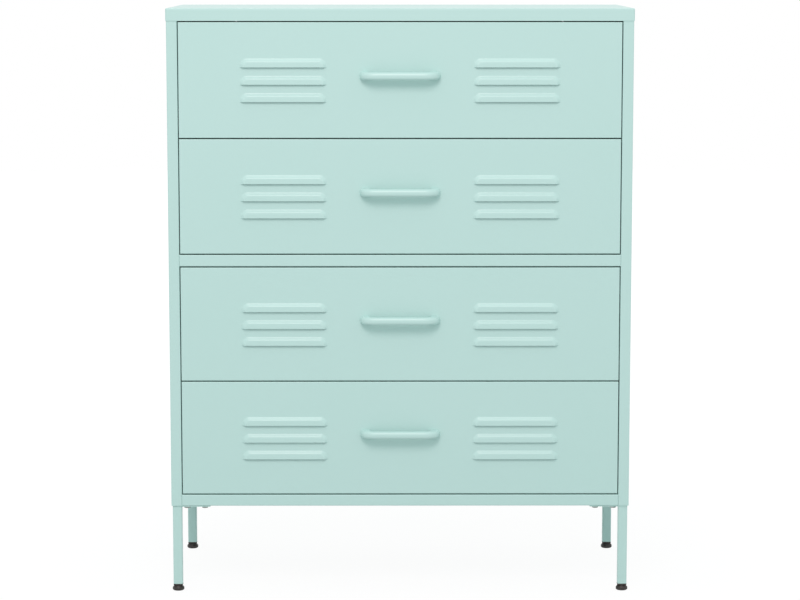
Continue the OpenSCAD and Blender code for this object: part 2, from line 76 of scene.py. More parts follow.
Flat = list[Vector]  # points of a line in a plane
Span = tuple[float, float]
Spot = tuple[Sequence[float], Sequence[float]]  # a fastener's place and the way it faces
Object = bpy.types.Object
Node = bpy.types.Node
Tree = bpy.types.NodeTree
Socket = tuple[Node, str | int]


# Lines in a plane


def flat(*points: Span) -> Flat:
    """Turns pairs of numbers into points of a plane."""
    return [Vector(point) for point in points]


def quarter(steps: int = ARC) -> list[float]:
    """The angles of a quarter turn, from none to a right angle."""
    return [math.pi / 2 * k / steps for k in range(steps + 1)]


def fold(
    corners: Sequence[Vector],
    radii: float | Sequence[float],
    steps: int = ARC,
    closed: bool = False,
) -> Flat:
    """Rounds the corners of a line, as a press brake does.

    Args:
        corners: The line's corners.
        radii: One radius, or one for each corner.
        steps: The number of straight pieces in each arc.
        closed: Whether the last corner joins the first.

    Returns:
        The points of the rounded line.
    """
    count = len(corners)
    each = [radii] * count if isinstance(radii, (int, float)) else list(radii)
    line: Flat = []
    for i, here in enumerate(corners):
        if not closed and i in (0, count - 1):
            line.append(here.copy())
            continue
        back = (corners[i - 1] - here).normalized()
        ahead = (corners[(i + 1) % count] - here).normalized()
        half = back.angle(ahead) / 2
        centre = here + (back + ahead).normalized() * (each[i] / math.sin(half))
        first = here + back * (each[i] / math.tan(half)) - centre
        last = here + ahead * (each[i] / math.tan(half)) - centre
        start = math.atan2(first.y, first.x)
        sweep = math.remainder(math.atan2(last.y, last.x) - start, math.tau)
        for k in range(steps + 1):
            turn = start + sweep * k / steps
            line.append(centre + each[i] * Vector((math.cos(turn), math.sin(turn))))
    return line


def offset(line: Sequence[Vector], distance: float) -> Flat:
    """Moves an open line to its left.

    Args:
        line: The points of the line.
        distance: How far to the left it goes.

    Returns:
        The points of the moved line.
    """
    ways = [(b - a).normalized() for a, b in zip(line, line[1:])]
    sides = [Vector((-way.y, way.x)) for way in ways]
    moved: Flat = []
    for here, before, after in zip(line, sides[:1] + sides, sides + sides[-1:]):
        middle = (before + after).normalized()
        moved.append(here + middle * (distance / middle.dot(before)))
    return moved


def rounded(x: Span, y: Span, radius: float, steps: int = ARC) -> Flat:
    """A rectangle with round corners, anticlockwise."""
    corners = flat((x[0], y[0]), (x[1], y[0]), (x[1], y[1]), (x[0], y[1]))
    return fold(corners, max(radius, SHARP), steps, closed=True)


def circle(centre: Span, radius: float, count: int) -> Flat:
    """The points of a circle, anticlockwise."""
    turns = [math.tau * i / count for i in range(count)]
    return [Vector(centre) + radius * Vector((math.cos(t), math.sin(t))) for t in turns]


class Along(Enum):
    """The direction that a section is drawn out in."""

    X = "x"
    Y = "y"
    Z = "z"

    def place(self, point: Vector, run: float) -> Vector:
        """A section's point, at a distance along the direction."""
        a, b = point
        return Vector({"x": (run, a, b), "y": (a, run, b), "z": (a, b, run)}[self.value])


def stacked(
    low: Vector, high: Vector, corner: float, profile: Sequence[Vector]
) -> list[list[Vector]]:
    """Rectangles with round corners, one over another, as in a square tube or a lid.

    Args:
        low: The outer rectangle's lowest corner.
        high: Its highest corner.
        corner: The radius of its corners.
        profile: How far in each rectangle lies, and its height.

    Returns:
        A ring of points for each point of the profile.
    """
    rings = []
    for p in profile:
        x, y = (low.x + p.x, high.x - p.x), (low.y + p.x, high.y - p.x)
        rings.append([Along.Z.place(q, p.y) for q in rounded(x, y, corner - p.x)])
    return rings


# Solids


def put(name: str, data: bpy.types.ID) -> Object:
    """Puts a mesh, a lamp or a camera into the scene.

    Args:
        name: The new object's name.
        data: What it shows.

    Returns:
        The new object.
    """
    made = bpy.data.objects.new(name, data)
    bpy.context.scene.collection.objects.link(made)
    return made


@dataclass
class Shape:
    """Points in millimetres, and the faces that join them."""

    points: list[Vector] = field(default_factory=list)
    faces: list[tuple[int, ...]] = field(default_factory=list)

    def add(self, points: Sequence[Vector], faces: Sequence[Sequence[int]]) -> "Shape":
        """Adds points and faces.

        Args:
            points: The new points.
            faces: The new faces, which count from the first new point.

        Returns:
            This shape.
        """
        start = len(self.points)
        self.points.extend(points)
        self.faces.extend(tuple(start + i for i in face) for face in faces)
        return self

    def sheet(
        self, rows: Sequence[Sequence[Vector]], ring: bool = False, loop: bool = False
    ) -> "Shape":
        """Joins rows of points with four-sided faces.

        Args:
            rows: The rows, all of one length.
            ring: Whether each row closes on itself.
            loop: Whether the last row joins the first.

        Returns:
            This shape.
        """
        wide, tall = len(rows[0]), len(rows)
        faces = []
        for j in range(tall if loop else tall - 1):
            here, above = j * wide, (j + 1) % tall * wide
            for i in range(wide if ring else wide - 1):
                after = (i + 1) % wide
                faces.append((here + i, here + after, above + after, above + i))
        return self.add([p for row in rows for p in row], faces)

    def loft(self, rings: Sequence[Sequence[Vector]]) -> "Shape":
        """Joins closed rings, and closes the first and the last.

        Args:
            rings: The rings, all of one length.

        Returns:
            This shape.
        """
        wide, start = len(rings[0]), len(self.points)
        self.sheet(rings, ring=True)
        last = start + (len(rings) - 1) * wide
        self.faces.append(tuple(start + i for i in reversed(range(wide))))
        self.faces.append(tuple(last + i for i in range(wide)))
        return self

    def strip(
        self,
        line: Sequence[Vector],
        thickness: float,
        span: tuple[float | Sequence[float], float],
        along: Along,
    ) -> "Shape":
        """A folded strip of sheet.

        Args:
            line: The middle of the sheet, seen along the folds.
            thickness: The sheet's thickness.
            span: Where the strip starts and ends; the start may differ at each point.
            along: The direction of the folds.

        Returns:
            This shape.
        """
        start, wide = len(self.points), len(line)
        low = [span[0]] * wide if isinstance(span[0], (int, float)) else span[0]
        high = [span[1]] * wide
        left, right = offset(line, thickness / 2), offset(line, -thickness / 2)
        sides = ((left, low), (left, high), (right, high), (right, low))
        rows = [[along.place(p, z) for p, z in zip(*side)] for side in sides]
        self.sheet(rows, loop=True)
        self.faces.append(tuple(start + j * wide for j in range(4)))
        self.faces.append(tuple(start + j * wide + wide - 1 for j in reversed(range(4))))
        return self

    def plate(self, loops: Sequence[Flat], span: Span, along: Along) -> "Shape":
        """A flat plate, cut to an outline.

        Args:
            loops: The outline, then each hole.
            span: The plate's lower and upper side.
            along: The direction of its thickness.

        Returns:
            This shape.
        """
        ends = [[along.place(p, z) for loop in loops for p in loop] for z in span]
        triangles = tessellate_polygon([[p.to_3d() for p in loop] for loop in loops])
        count, start = len(ends[0]), 0
        faces = [tuple(reversed(t)) for t in triangles]
        faces += [tuple(i + count for i in t) for t in triangles]
        for loop in loops:
            size = len(loop)
            pairs = [(start + i, start + (i + 1) % size) for i in range(size)]
            faces += [(a, b, b + count, a + count) for a, b in pairs]
            start += size
        return self.add(ends[0] + ends[1], faces)

    def lathe(
        self,
        profile: Sequence[Vector],
        steps: int,
        place: Matrix = Matrix.Identity(4),
        loop: bool = False,
    ) -> "Shape":
        """Turns a profile round an axis.

        Args:
            profile: Points of radius and height.
            steps: The number of flats round the axis.
            place: Where the axis goes; it is Z at first.
            loop: Whether the profile closes on itself, as a tyre's does.

        Returns:
            This shape.
        """
        turns = [math.tau * i / steps for i in range(steps)]
        rows = [
            [place @ Vector((p.x * math.cos(t), p.x * math.sin(t), p.y)) for t in turns]
            for p in profile
        ]
        return self.sheet(rows, ring=True, loop=loop)

    def moved(self, change: Callable[[Vector], Vector]) -> "Shape":
        """A copy with every point changed."""
        return Shape([change(p) for p in self.points], list(self.faces))

    def both_sides(self) -> "Shape":
        """This shape and its mirror image across the middle of the cabinet."""
        mirrored = [Vector((-p.x, p.y, p.z)) for p in self.points]
        return self.moved(Vector.copy).add(mirrored, [tuple(reversed(f)) for f in self.faces])

    def join(self, *others: "Shape") -> "Shape":
        """Adds other shapes to this one.

        Args:
            *others: The shapes, which stay as they are.

        Returns:
            This shape.
        """
        for other in others:
            self.add(other.points, other.faces)
        return self

    def body(self, name: str, outward: bool = True) -> Object:
        """Makes the mesh, in metres.

        Args:
            name: The new object's name.
            outward: Whether to turn every face outwards; an open sheet keeps its own.

        Returns:
            The new object.
        """
        mesh = bpy.data.meshes.new(name)
        mesh.from_pydata([p * MM for p in self.points], [], self.faces)
        work = bmesh.new()
        work.from_mesh(mesh)
        bmesh.ops.remove_doubles(work, verts=work.verts, dist=WELD)
        bmesh.ops.dissolve_degenerate(work, edges=work.edges, dist=WELD / 2)
        if outward:
            bmesh.ops.recalc_face_normals(work, faces=work.faces)
        work.to_mesh(mesh)
        work.free()
        return put(name, mesh)


@cache
def box(node: str) -> tuple[Vector, Vector]:
    """The lowest and the highest corner of a CAD node, in millimetres."""
    low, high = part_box(node)
    return low / MM, high / MM


def turned(axis: Vector, origin: Sequence[float]) -> Matrix:
    """The place of a part whose own Z lies along an axis."""
    turn = axis.to_track_quat("Z", "Y").to_matrix().to_4x4()
    return Matrix.Translation(Vector(origin)) @ turn


def settle(piece: Object) -> Object:
    """Turns what a piece's modifiers make of it into its plain mesh.

    Args:
        piece: The object, which keeps its name.

    Returns:
        The same object, without modifiers.
    """
    graph = bpy.context.evaluated_depsgraph_get()
    mesh = bpy.data.meshes.new_from_object(
        piece.evaluated_get(graph), preserve_all_data_layers=True, depsgraph=graph
    )
    old = piece.data
    piece.modifiers.clear()
    piece.data = mesh
    mesh.name = piece.name
    bpy.data.meshes.remove(old)
    return piece


def merged(name: str, parts: Sequence[Object]) -> Object:
    """Makes one object of several.

    Args:
        name: The new object's name.
        parts: The objects, which are used up.

    Returns:
        The new object, without a material.
    """
    work = bmesh.new()
    for part in parts:
        work.from_mesh(part.data)
        bpy.data.objects.remove(part)
    mesh = bpy.data.meshes.new(name)
    work.to_mesh(mesh)
    work.free()
    return put(name, mesh)


# Node trees


def add_node(
    tree: Tree, kind: str, wires: dict[str | int, object] | None = None, **settings: object
) -> Node:
    """Adds a node to a tree.

    Args:
        tree: The tree.
        kind: The node's type.
        wires: For each input, a value, or the node and output that feed it.
        **settings: The node's own settings.

    Returns:
        The new node.
    """
    node = tree.nodes.new(kind)
    for name, value in settings.items():
        setattr(node, name, value)
    for key, source in (wires or {}).items():
        if isinstance(source, tuple) and isinstance(source[0], Node):
            tree.links.new(source[0].outputs[source[1]], node.inputs[key])
        else:
            node.inputs[key].default_value = source
    return node


def new_tree(name: str, inputs: dict[str, str]) -> tuple[Tree, Node]:
    """Starts a geometry tree with named inputs, the last of them a material.

    Args:
        name: The tree's name.
        inputs: The name and kind of each input between the geometry and the material.

    Returns:
        The tree and its input node.
    """
    tree = bpy.data.node_groups.new(name, "GeometryNodeTree")
    for label, kind in {"Geometry": "Geometry", **inputs, "Material": "Material"}.items():
        tree.interface.new_socket(label, in_out="INPUT", socket_type=f"NodeSocket{kind}")
    tree.interface.new_socket("Geometry", in_out="OUTPUT", socket_type="NodeSocketGeometry")
    return tree, tree.nodes.new("NodeGroupInput")


def end_tree(tree: Tree, given: Node, made: Node) -> Tree:
    """Ends a geometry tree with real geometry in its finish.

    Args:
        tree: The tree.
        given: Its input node.
        made: The node whose first output holds the geometry.

    Returns:
        The tree.
    """
    real = add_node(tree, "GeometryNodeRealizeInstances", {0: (made, 0)})
    wires = {"Geometry": (real, 0), "Material": (given, "Material")}
    finish = add_node(tree, "GeometryNodeSetMaterial", wires)
    add_node(tree, "NodeGroupOutput", {0: (finish, 0)})
    return tree


def grow(base: Object, tree: Tree, inputs: dict[str, object]) -> Object:
    """Runs a geometry tree on an object.

    Args:
        base: The object, whose mesh is replaced.
        tree: The tree.
        inputs: A value for each of the tree's named inputs.

    Returns:
        The same object, with a plain mesh.
    """
    modifier = base.modifiers.new(tree.name, "NODES")
    modifier.node_group = tree
    for item in tree.interface.items_tree:
        if item.item_type == "SOCKET" and item.in_out == "INPUT" and item.name in inputs:
            modifier[item.identifier] = inputs[item.name]
    return settle(base)


def louvre_tree() -> Tree:
    """Makes the tree that sets two groups of pressed louvres into a drawer front.

    Returns:
        The tree.
    """
    sizes = ("Group reach", "Face", "Lowest slot", "Pitch", "Seam")
    inputs = {"Louvre": "Object", "Rows": "Int", **dict.fromkeys(sizes, "Float")}
    tree, given = new_tree("louvre_bank", inputs)
    add = partial(add_node, tree)
    index = add("GeometryNodeInputIndex")
    count = add(MATHS, {0: (given, "Rows"), 1: 2.0}, operation="MULTIPLY")
    side = add(MATHS, {0: (index, 0), 1: 2.0}, operation="MODULO")
    sign = add(MATHS, {0: (side, 0), 1: 2.0, 2: -1.0}, operation="MULTIPLY_ADD")
    across = add(MATHS, {0: (sign, 0), 1: (given, "Group reach")}, operation="MULTIPLY")
    half = add(MATHS, {0: (index, 0), 1: 0.5}, operation="MULTIPLY")
    row = add(MATHS, {0: (half, 0)}, operation="FLOOR")
    rise = {0: (row, 0), 1: (given, "Pitch"), 2: (given, "Lowest slot")}
    up = add(MATHS, rise, operation="MULTIPLY_ADD")
    spot = add("ShaderNodeCombineXYZ", {"X": (across, 0), "Y": (given, "Face"), "Z": (up, 0)})
    points = add("GeometryNodePoints", {"Count": (count, 0), "Position": (spot, 0)})
    pressed = add("GeometryNodeObjectInfo", {"Object": (given, "Louvre")})
    wires = {"Points": (points, 0), "Instance": (pressed, "Geometry")}
    placed = add("GeometryNodeInstanceOnPoints", wires)
    real = add("GeometryNodeRealizeInstances", {0: (placed, 0)})
    joined = add("GeometryNodeJoinGeometry", {0: (given, "Geometry")})
    tree.links.new(real.outputs[0], joined.inputs[0])
    wires = {"Geometry": (joined, 0), "Distance": (given, "Seam")}
    return end_tree(tree, given, add("GeometryNodeMergeByDistance", wires))


def fixing_tree() -> Tree:
    """Makes the tree that puts one screw, bolt, rivet or rib at every point, along its axis.

    Returns:
        The tree.
    """
    tree, given = new_tree("fixings", {"Fixing": "Object", "Roll": "Float", "Seed": "Int"})
    add = partial(add_node, tree)
    axis = add("GeometryNodeInputNamedAttribute", {"Name": "axis"}, data_type="FLOAT_VECTOR")
    aim = add("FunctionNodeAlignRotationToVector", {"Vector": (axis, 0)}, axis="Z")
    chance = add("FunctionNodeRandomValue", {"Seed": (given, "Seed")}, data_type="FLOAT")
    amount = add(MATHS, {0: (chance, 1), 1: (given, "Roll")}, operation="MULTIPLY")
    roll = add("FunctionNodeAxisAngleToRotation", {"Angle": (amount, 0)})
    wires = {"Rotation": (aim, 0), "Rotate By": (roll, 0)}
    turn = add("FunctionNodeRotateRotation", wires, rotation_space="LOCAL")
    part = add("GeometryNodeObjectInfo", {"Object": (given, "Fixing")})
    wires = {"Points": (given, "Geometry"), "Instance": (part, "Geometry")}
    wires["Rotation"] = (turn, 0)
    return end_tree(tree, given, add("GeometryNodeInstanceOnPoints", wires))


def thread_tree() -> Tree:
    """Makes the tree of a threaded rod, which stands on its start point.

    It rolls up a net of points. Each sum below has a name, an operation and its terms, and a
    term that is a name stands for an earlier sum.

    Returns:
        The tree.
    """
    sizes = dict.fromkeys(("Radius", "Length", "Pitch", "Depth", "Chamfer"), "Float")
    inputs = {"Start": "Vector", **sizes, "Around": "Int", "Rows": "Int"}
    tree, given = new_tree("threaded_rod", inputs)
    add = partial(add_node, tree)
    wires = {"Size X": 1.0, "Size Y": 1.0}
    wires |= {"Vertices X": (given, "Around"), "Vertices Y": (given, "Rows")}
    net = add("GeometryNodeMeshGrid", wires)
    parts = add("ShaderNodeSeparateXYZ", {0: (add("GeometryNodeInputPosition"), 0)})
    rows, radius, length = (given, "Rows"), (given, "Radius"), (given, "Length")
    sums: dict[str, Socket] = {}
    for name, operation, *terms in (
        ("round_share", "ADD", (parts, "X"), 0.5),
        ("row_share", "ADD", (parts, "Y"), 0.5),
        ("last_row", "SUBTRACT", rows, 1.0),
        ("row", "MULTIPLY", "row_share", "last_row"),
        # The first and the last row are the poles, at the height of their neighbours
        ("rows_up", "SUBTRACT", "row", 1.0),
        ("all_rows", "SUBTRACT", rows, 3.0),
        ("share", "DIVIDE", "rows_up", "all_rows"),
        ("height", "MULTIPLY", "share", length),
        ("turns", "DIVIDE", "height", (given, "Pitch")),
        ("phase", "SUBTRACT", "turns", "round_share"),
        ("wave", "PINGPONG", "phase", 0.5),
        ("flank", "MULTIPLY", "wave", 2.0),
        ("cut", "MULTIPLY", "flank", (given, "Depth")),
        ("threaded", "SUBTRACT", radius, "cut"),
        ("from_top", "SUBTRACT", length, "height"),
        ("to_end", "MINIMUM", "height", "from_top"),
        ("tip", "SUBTRACT", radius, (given, "Chamfer")),
        ("taper", "ADD", "tip", "to_end"),
        ("tapered", "MINIMUM", "threaded", "taper"),
        ("above_pole", "GREATER_THAN", "row", 0.5),
        ("top_pole", "SUBTRACT", rows, 1.5),
        ("below_pole", "LESS_THAN", "row", "top_pole"),
        ("off_poles", "MULTIPLY", "above_pole", "below_pole"),
        ("reach", "MULTIPLY", "tapered", "off_poles"),
        ("angle", "MULTIPLY", "round_share", math.tau),
        ("cosine", "COSINE", "angle"),
        ("sine", "SINE", "angle"),
        ("x", "MULTIPLY", "reach", "cosine"),
        ("y", "MULTIPLY", "reach", "sine"),
    ):
        wires = {i: sums[v] if isinstance(v, str) else v for i, v in enumerate(terms)}
        node = add(MATHS, wires, operation=operation, use_clamp=name == "share")
        sums[name] = (node, 0)
    wires = {"X": sums["x"], "Y": sums["y"], "Z": sums["height"]}
    place = add("ShaderNodeCombineXYZ", wires)
    raised = add("ShaderNodeVectorMath", {0: (place, 0), 1: (given, "Start")}, operation="ADD")
    rolled = add("GeometryNodeSetPosition", {"Geometry": (net, 0), "Position": (raised, 0)})
    wires = {"Geometry": (rolled, 0), "Distance": WELD}
    return end_tree(tree, given, add("GeometryNodeMergeByDistance", wires))


def weld_tree() -> Tree:
    """Makes the tree that lays the ripples of a weld bead along every line of edges.

    Returns:
        The tree.
    """
    sizes = dict.fromkeys(("Ripple", "Bead", "Unevenness"), "Float")
    tree, given = new_tree("weld_bead", {**sizes, "Seed": "Int"})
    add = partial(add_node, tree)
    curve = add("GeometryNodeMeshToCurve", {0: (given, "Geometry")})
    wires = {"Curve": (curve, 0), "Length": (given, "Ripple")}
    steps = add("GeometryNodeCurveToPoints", wires, mode="LENGTH")
    least = add(MATHS, {0: 1.0, 1: (given, "Unevenness")}, operation="SUBTRACT")
    wires = {2: (least, 0), 3: 1.0, "Seed": (given, "Seed")}
    chance = add("FunctionNodeRandomValue", wires, data_type="FLOAT")
    size = add(MATHS, {0: (chance, 1), 1: (given, "Bead")}, operation="MULTIPLY")
    drop = add("GeometryNodeMeshUVSphere", {"Segments": 10, "Rings": 7, "Radius": 1.0})
    wires = {"Points": (steps, "Points"), "Instance": (drop, 0)}
    wires |= {"Rotation": (steps, "Rotation"), "Scale": (size, 0)}
    return end_tree(tree, given, add("GeometryNodeInstanceOnPoints", wires))


# Finishes


def linear(code: str) -> tuple[float, float, float, float]:
    """Turns an sRGB hex colour, as #RRGGBB, into linear light with a full alpha.

    Args:
        code: The colour.

    Returns:
        Red, green, blue and alpha.
    """
    parts = [int(code[i : i + 2], 16) / 255 for i in (1, 3, 5)]
    lit = [p / 12.92 if p <= 0.04045 else ((p + 0.055) / 1.055) ** 2.4 for p in parts]
    return lit[0], lit[1], lit[2], 1.0


@dataclass(frozen=True)
class Finish:
    """A material and how its surface was made.

    The colour drifts a little between two shades in broad clouds, and the gloss drifts with
    it. A grain of a real size stands in relief on it.
    """

    name: str
    slot: str
    shade: str
    second_shade: str
    cloud: float  # width of the clouds
    grain: float  # spacing of the grain
    relief: float  # height of the grain
    gloss: Span  # roughness in the two shades
    cloud_detail: float = 3.0
    grain_detail: float = 2.0
    grain_roughness: float = 0.55
    stretch: tuple[float, float, float] = (1.0, 1.0, 1.0)  # of the grain, along each axis
    metallic: float = 0.0
    ior: float = 1.5
    bleed: float = 0.0  # how far light spreads inside it
    bleed_share: float = 0.25
    bleed_colour: tuple[float, float, float] = (1.0, 0.9, 0.75)
    drift: Span = (0.7, 1.3)  # the two noises' sum, from one shade's gloss to the other's

    def material(self) -> bpy.types.Material:
        """Makes the Blender material, once.

        Returns:
            The material.
        """
        made = bpy.data.materials.get(self.name)
        if made:
            return made
        made = bpy.data.materials.new(self.name)
        made.use_nodes = True
        made.diffuse_color = linear(self.shade)
        tree = made.node_tree
        tree.nodes.clear()
        add = partial(add_node, tree)
        where = add("ShaderNodeTexCoord")
        wires = {"Vector": (where, "Object"), "Scale": 1 / (self.cloud * MM)}
        cloud = add("ShaderNodeTexNoise", wires | {"Detail": self.cloud_detail})
        wires = {0: (cloud, 0), 6: linear(self.shade), 7: linear(self.second_shade)}
        tint = add("ShaderNodeMix", wires, data_type="RGBA")
        wires = {"Vector": (where, "Object"), "Scale": self.stretch}
        stretched = add("ShaderNodeMapping", wires)
        wires = {"Vector": (stretched, 0), "Scale": 1 / (self.grain * MM)}
        wires |= {"Detail": self.grain_detail, "Roughness": self.grain_roughness}
        grain = add("ShaderNodeTexNoise", wires)
        wires = {"Height": (grain, 0), "Strength": 1.0, "Distance": self.relief * MM}
        relief = add("ShaderNodeBump", wires)
        both = add(MATHS, {0: (cloud, 0), 1: (grain, 0)}, operation="ADD")
        ends = dict(enumerate((*self.drift, *self.gloss), 1))
        sheen = add("ShaderNodeMapRange", {0: (both, 0), **ends})
        wires = {
            "Base Color": (tint, 2),
            "Roughness": (sheen, 0),
            "Normal": (relief, 0),
            "Metallic": self.metallic,
            "IOR": self.ior,
        }
        if self.bleed:
            wires["Subsurface Weight"] = self.bleed_share
            wires["Subsurface Radius"] = self.bleed_colour
            wires["Subsurface Scale"] = self.bleed * MM
        skin = add("ShaderNodeBsdfPrincipled", wires)
        add("ShaderNodeOutputMaterial", {"Surface": (skin, 0)})
        return made


# Polyester powder, sprayed on dry and baked: one even colour with a soft satin gloss. The
# film's orange peel is 1 to 3 mm wide, drawn here at 3.2 mm so that it shows.
POWDER_COAT = Finish(
    name="satin_polyester_powder_coat",
    slot="mint_powder_coat",
    shade="#BFDDD9",
    second_shade="#BCDCD7",
    cloud=180.0,
    grain=3.2,
    relief=0.018,
    gloss=(0.31, 0.37),
)

# Bright zinc over cold-rolled steel: a pale bluish metal, a little cloudy, with faint lines
# along the runners where the rolls formed them. The lines are drawn 0.9 mm apart to show.
BRIGHT_ZINC = Finish(
    name="bright_zinc_plated_steel",
    slot="zinc_plated_steel",
    shade="#C3C8CC",
    second_shade="#CFCFC9",
    cloud=14.0,
    grain=0.9,
    relief=0.006,
    gloss=(0.26, 0.40),
    stretch=(1.0, 0.06, 1.0),
    metallic=1.0,
)

# Zinc on the bolt heads and nuts: darker and rougher than the rolled sheet, with a crystalline
# bloom 5 mm wide.
DULL_ZINC = Finish(
    name="dull_zinc_plated_bolts",
    slot="zinc_plated_steel",
    shade="#8A9492",
    second_shade="#A3A9A4",
    cloud=5.0,
    grain=0.8,
    relief=0.010,
    gloss=(0.42, 0.56),
    metallic=1.0,
)

# Injection-moulded nylon: milky and waxy, light goes a little way in, and the tool leaves
# a fine matt grain.
CAST_NYLON = Finish(
    name="moulded_white_nylon",
    slot="white_nylon",
    shade="#EAE7DD",
    second_shade="#E4E1D6",
    cloud=5.0,
    grain=0.5,
    relief=0.006,
    gloss=(0.42, 0.52),
    ior=1.53,
    bleed=0.8,
)

# Injection-moulded polypropylene coloured with carbon black: a warm near-black with a soft
# grey gloss, and the fine spark-eroded grain of its tool, drawn at 0.7 mm to show.
BLACK_POLYPROPYLENE = Finish(
    name="moulded_black_polypropylene",
    slot="black_plastic",
    shade="#302A28",
    second_shade="#2A2624",
    cloud=9.0,
    grain=0.7,
    relief=0.012,
    gloss=(0.44, 0.56),
    ior=1.49,
)


def fit(piece: Object, body: str, nodes: Sequence[str], finish: Finish) -> None:
    """Finishes a piece and ties it to the CAD model.

    Args:
        piece: The piece, in its place.
        body: The CAD body that it moves with.
        nodes: The CAD nodes that it stands for.
        finish: Its finish.
    """
    piece.data.materials.clear()
    piece.data.materials.append(finish.material())
    piece.data.shade_smooth()
    piece.data.set_sharp_from_angle(angle=CREASE)
    piece.modifiers.new("even_flats", "WEIGHTED_NORMAL").keep_sharp = True
    settle(piece)
    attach(piece, body)
    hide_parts(*nodes)
    LOG.info("%s on %s: %d faces", piece.name, body, len(piece.data.polygons))


# The case


@dataclass
class Case:
    """The top cap, the panels and the rail, all of folded sheet."""

    sheet: float = 0.8
    bend: float = 1.2  # radius of a fold, to the middle of the sheet
    gap: float = 0.1  # between sheets that are joined
    cap_sheet: float = 1.0
    cap_fold: float = 2.0
    cap_corner: float = 2.5
    cap_edge: float = 0.3  # rounding of the lip's cut edge under its paint
    cap_return: float = 12.0
    cap_flat: float = 30.0  # how far in the flat middle is closed
    stile_return: float = 37.0
    post_return: float = 50.3
    return_start: float = 159.8  # height of the returns' lower end
    rail_depth: float = 25.0
    pan_flange: float = 18.0
    back_corner: float = 0.5
    wall_hole: float = 3.0
    hole_flats: int = 32
    wall_holes: tuple[Span, ...] = ((-300.0, 987.5), (300.0, 987.5))

    def bay(self) -> Span:
        """The left and right end of everything between the side panels."""
        return box("mid_rail")[0].x, box("mid_rail")[1].x

    def cap(self) -> Object:
        """Makes the lid: folded down all round, with its corners welded and ground round.

        Returns:
            The lid, with the return that lies under its front lip.
        """
        low, high = box("top_cap")
        t, start, z = self.cap_sheet, self.cap_flat, low.z + self.cap_sheet / 2
        corners = flat((start, high.z - t), (t, high.z - t), (t, low.z), (0, low.z))
        corners += flat((0, high.z), (start, high.z))
        radii = (0, self.cap_fold - t, self.cap_edge, self.cap_edge, self.cap_fold, 0)
        shape = Shape().loft(stacked(low, high, self.cap_corner, fold(corners, radii)))
        line = flat((low.y + t - self.gap, z), (low.y + t + self.cap_return, z))
        return shape.strip(line, t, self.bay(), Along.X).body("cap")

    def side(self) -> Shape:
        """Makes the right side panel: one sheet folded into stile, wall and post.

        Returns:
            The panel, with the flange along its top.
        """
        low, high = box("side_panel_right")
        mid = self.sheet / 2
        x0, x1, y0, y1 = low.x + mid, high.x - mid, low.y + mid, high.y - mid
        stile, post = (x0, low.y + self.stile_return), (x0, high.y - self.post_return)
        line = fold(flat(stile, (x0, y0), (x1, y0), (x1, y1), (x0, y1), post), self.bend)
        starts = [self.return_start if p.x < x0 + WELD / MM else low.z for p in line]
        shape = Shape().strip(line, self.sheet, (starts, high.z), Along.Z)
        flange = flat((low.x, high.z - mid), (x1, high.z - mid))
        return shape.strip(flange, self.sheet, (y0, y1), Along.Y)

    def back(self) -> Object:
        """Makes the flat back, with two holes for fixing it to a wall.

        Returns:
            The back.
        """
        low, high = box("back_panel")
        loops = [rounded((low.x, high.x), (low.z, high.z), self.back_corner, TINY_ARC)]
        loops += [circle(spot, self.wall_hole, self.hole_flats) for spot in self.wall_holes]
        return Shape().plate(loops, (low.y, high.y), Along.Y).body("back")

    def floor(self) -> Object:
        """Makes the pan between the sides, whose front edge is the rail under the drawers.

        Returns:
            The pan, with a wing along each side.
        """
        low, high = box("bottom_panel")
        mid, lip = self.sheet / 2, low.z + self.pan_flange
        half = self.bay()[1]
        y0, z0, z1 = low.y + mid, low.z + mid, high.z - mid
        front = flat((low.y + self.rail_depth, z1), (y0, z1), (y0, z0))
        line = fold(front + flat((high.y - mid, z0), (high.y - mid, lip)), self.bend)
        shape = Shape().strip(line, self.sheet, self.bay(), Along.X)
        wing = fold(flat((half, z0), (high.x - mid, z0), (high.x - mid, lip)), self.bend)
        reach = (low.y + self.sheet + self.gap, high.y - self.sheet - self.gap)
        sides = Shape().strip(wing, self.sheet, reach, Along.Y).both_sides()
        return shape.join(sides).body("floor_pan")

    def rail(self) -> Object:
        """Makes the channel between the two bays, closed by a riveted plate at each end.

        Returns:
            The channel.
        """
        low, high = box("mid_rail")
        mid = self.sheet / 2
        y0, z0, z1 = low.y + mid, low.z + mid, high.z - mid
        line = fold(flat((high.y, z0), (y0, z0), (y0, z1), (high.y, z1)), self.bend)
        shape = Shape().strip(line, self.sheet, (low.x, high.x), Along.X)
        outline = rounded((y0, high.y - self.gap), (z0, z1), self.bend)
        span = (high.x - self.sheet, high.x - self.gap / 2)
        end = Shape().plate([outline], span, Along.X)
        return shape.join(end.both_sides()).body("middle_rail")

    def build(self) -> None:
        """Makes and dresses every panel."""
        right = self.side()
        left = right.moved(lambda p: Vector((-p.x, p.y, p.z)))
        for piece, node in (
            (self.cap(), "top_cap"),
            (right.body("side_right"), "side_panel_right"),
            (left.body("side_left"), "side_panel_left"),
            (self.back(), "back_panel"),
            (self.floor(), "bottom_panel"),
            (self.rail(), "mid_rail"),
        ):
            fit(piece, "case", [node], POWDER_COAT)


# Legs and feet


@dataclass
class Corner:
    """One of the four corners that have a leg."""

    end: str
    side: str

    @property
    def name(self) -> str:
        """The corner's name in the CAD model."""
        return f"{self.end}_{self.side}"

    def place(self, p: Vector) -> Vector:
        """Moves a point of the front right corner here.

        Args:
            p: The point.

        Returns:
            The moved point.
        """
        turn_y = box("leg_front_right")[0].y + box("leg_back_right")[1].y
        x = p.x if self.side == "right" else -p.x
        return Vector((x, p.y if self.end == "front" else turn_y - p.y, p.z))


CORNERS = [Corner(end, side) for end in ("front", "back") for side in ("left", "right")]


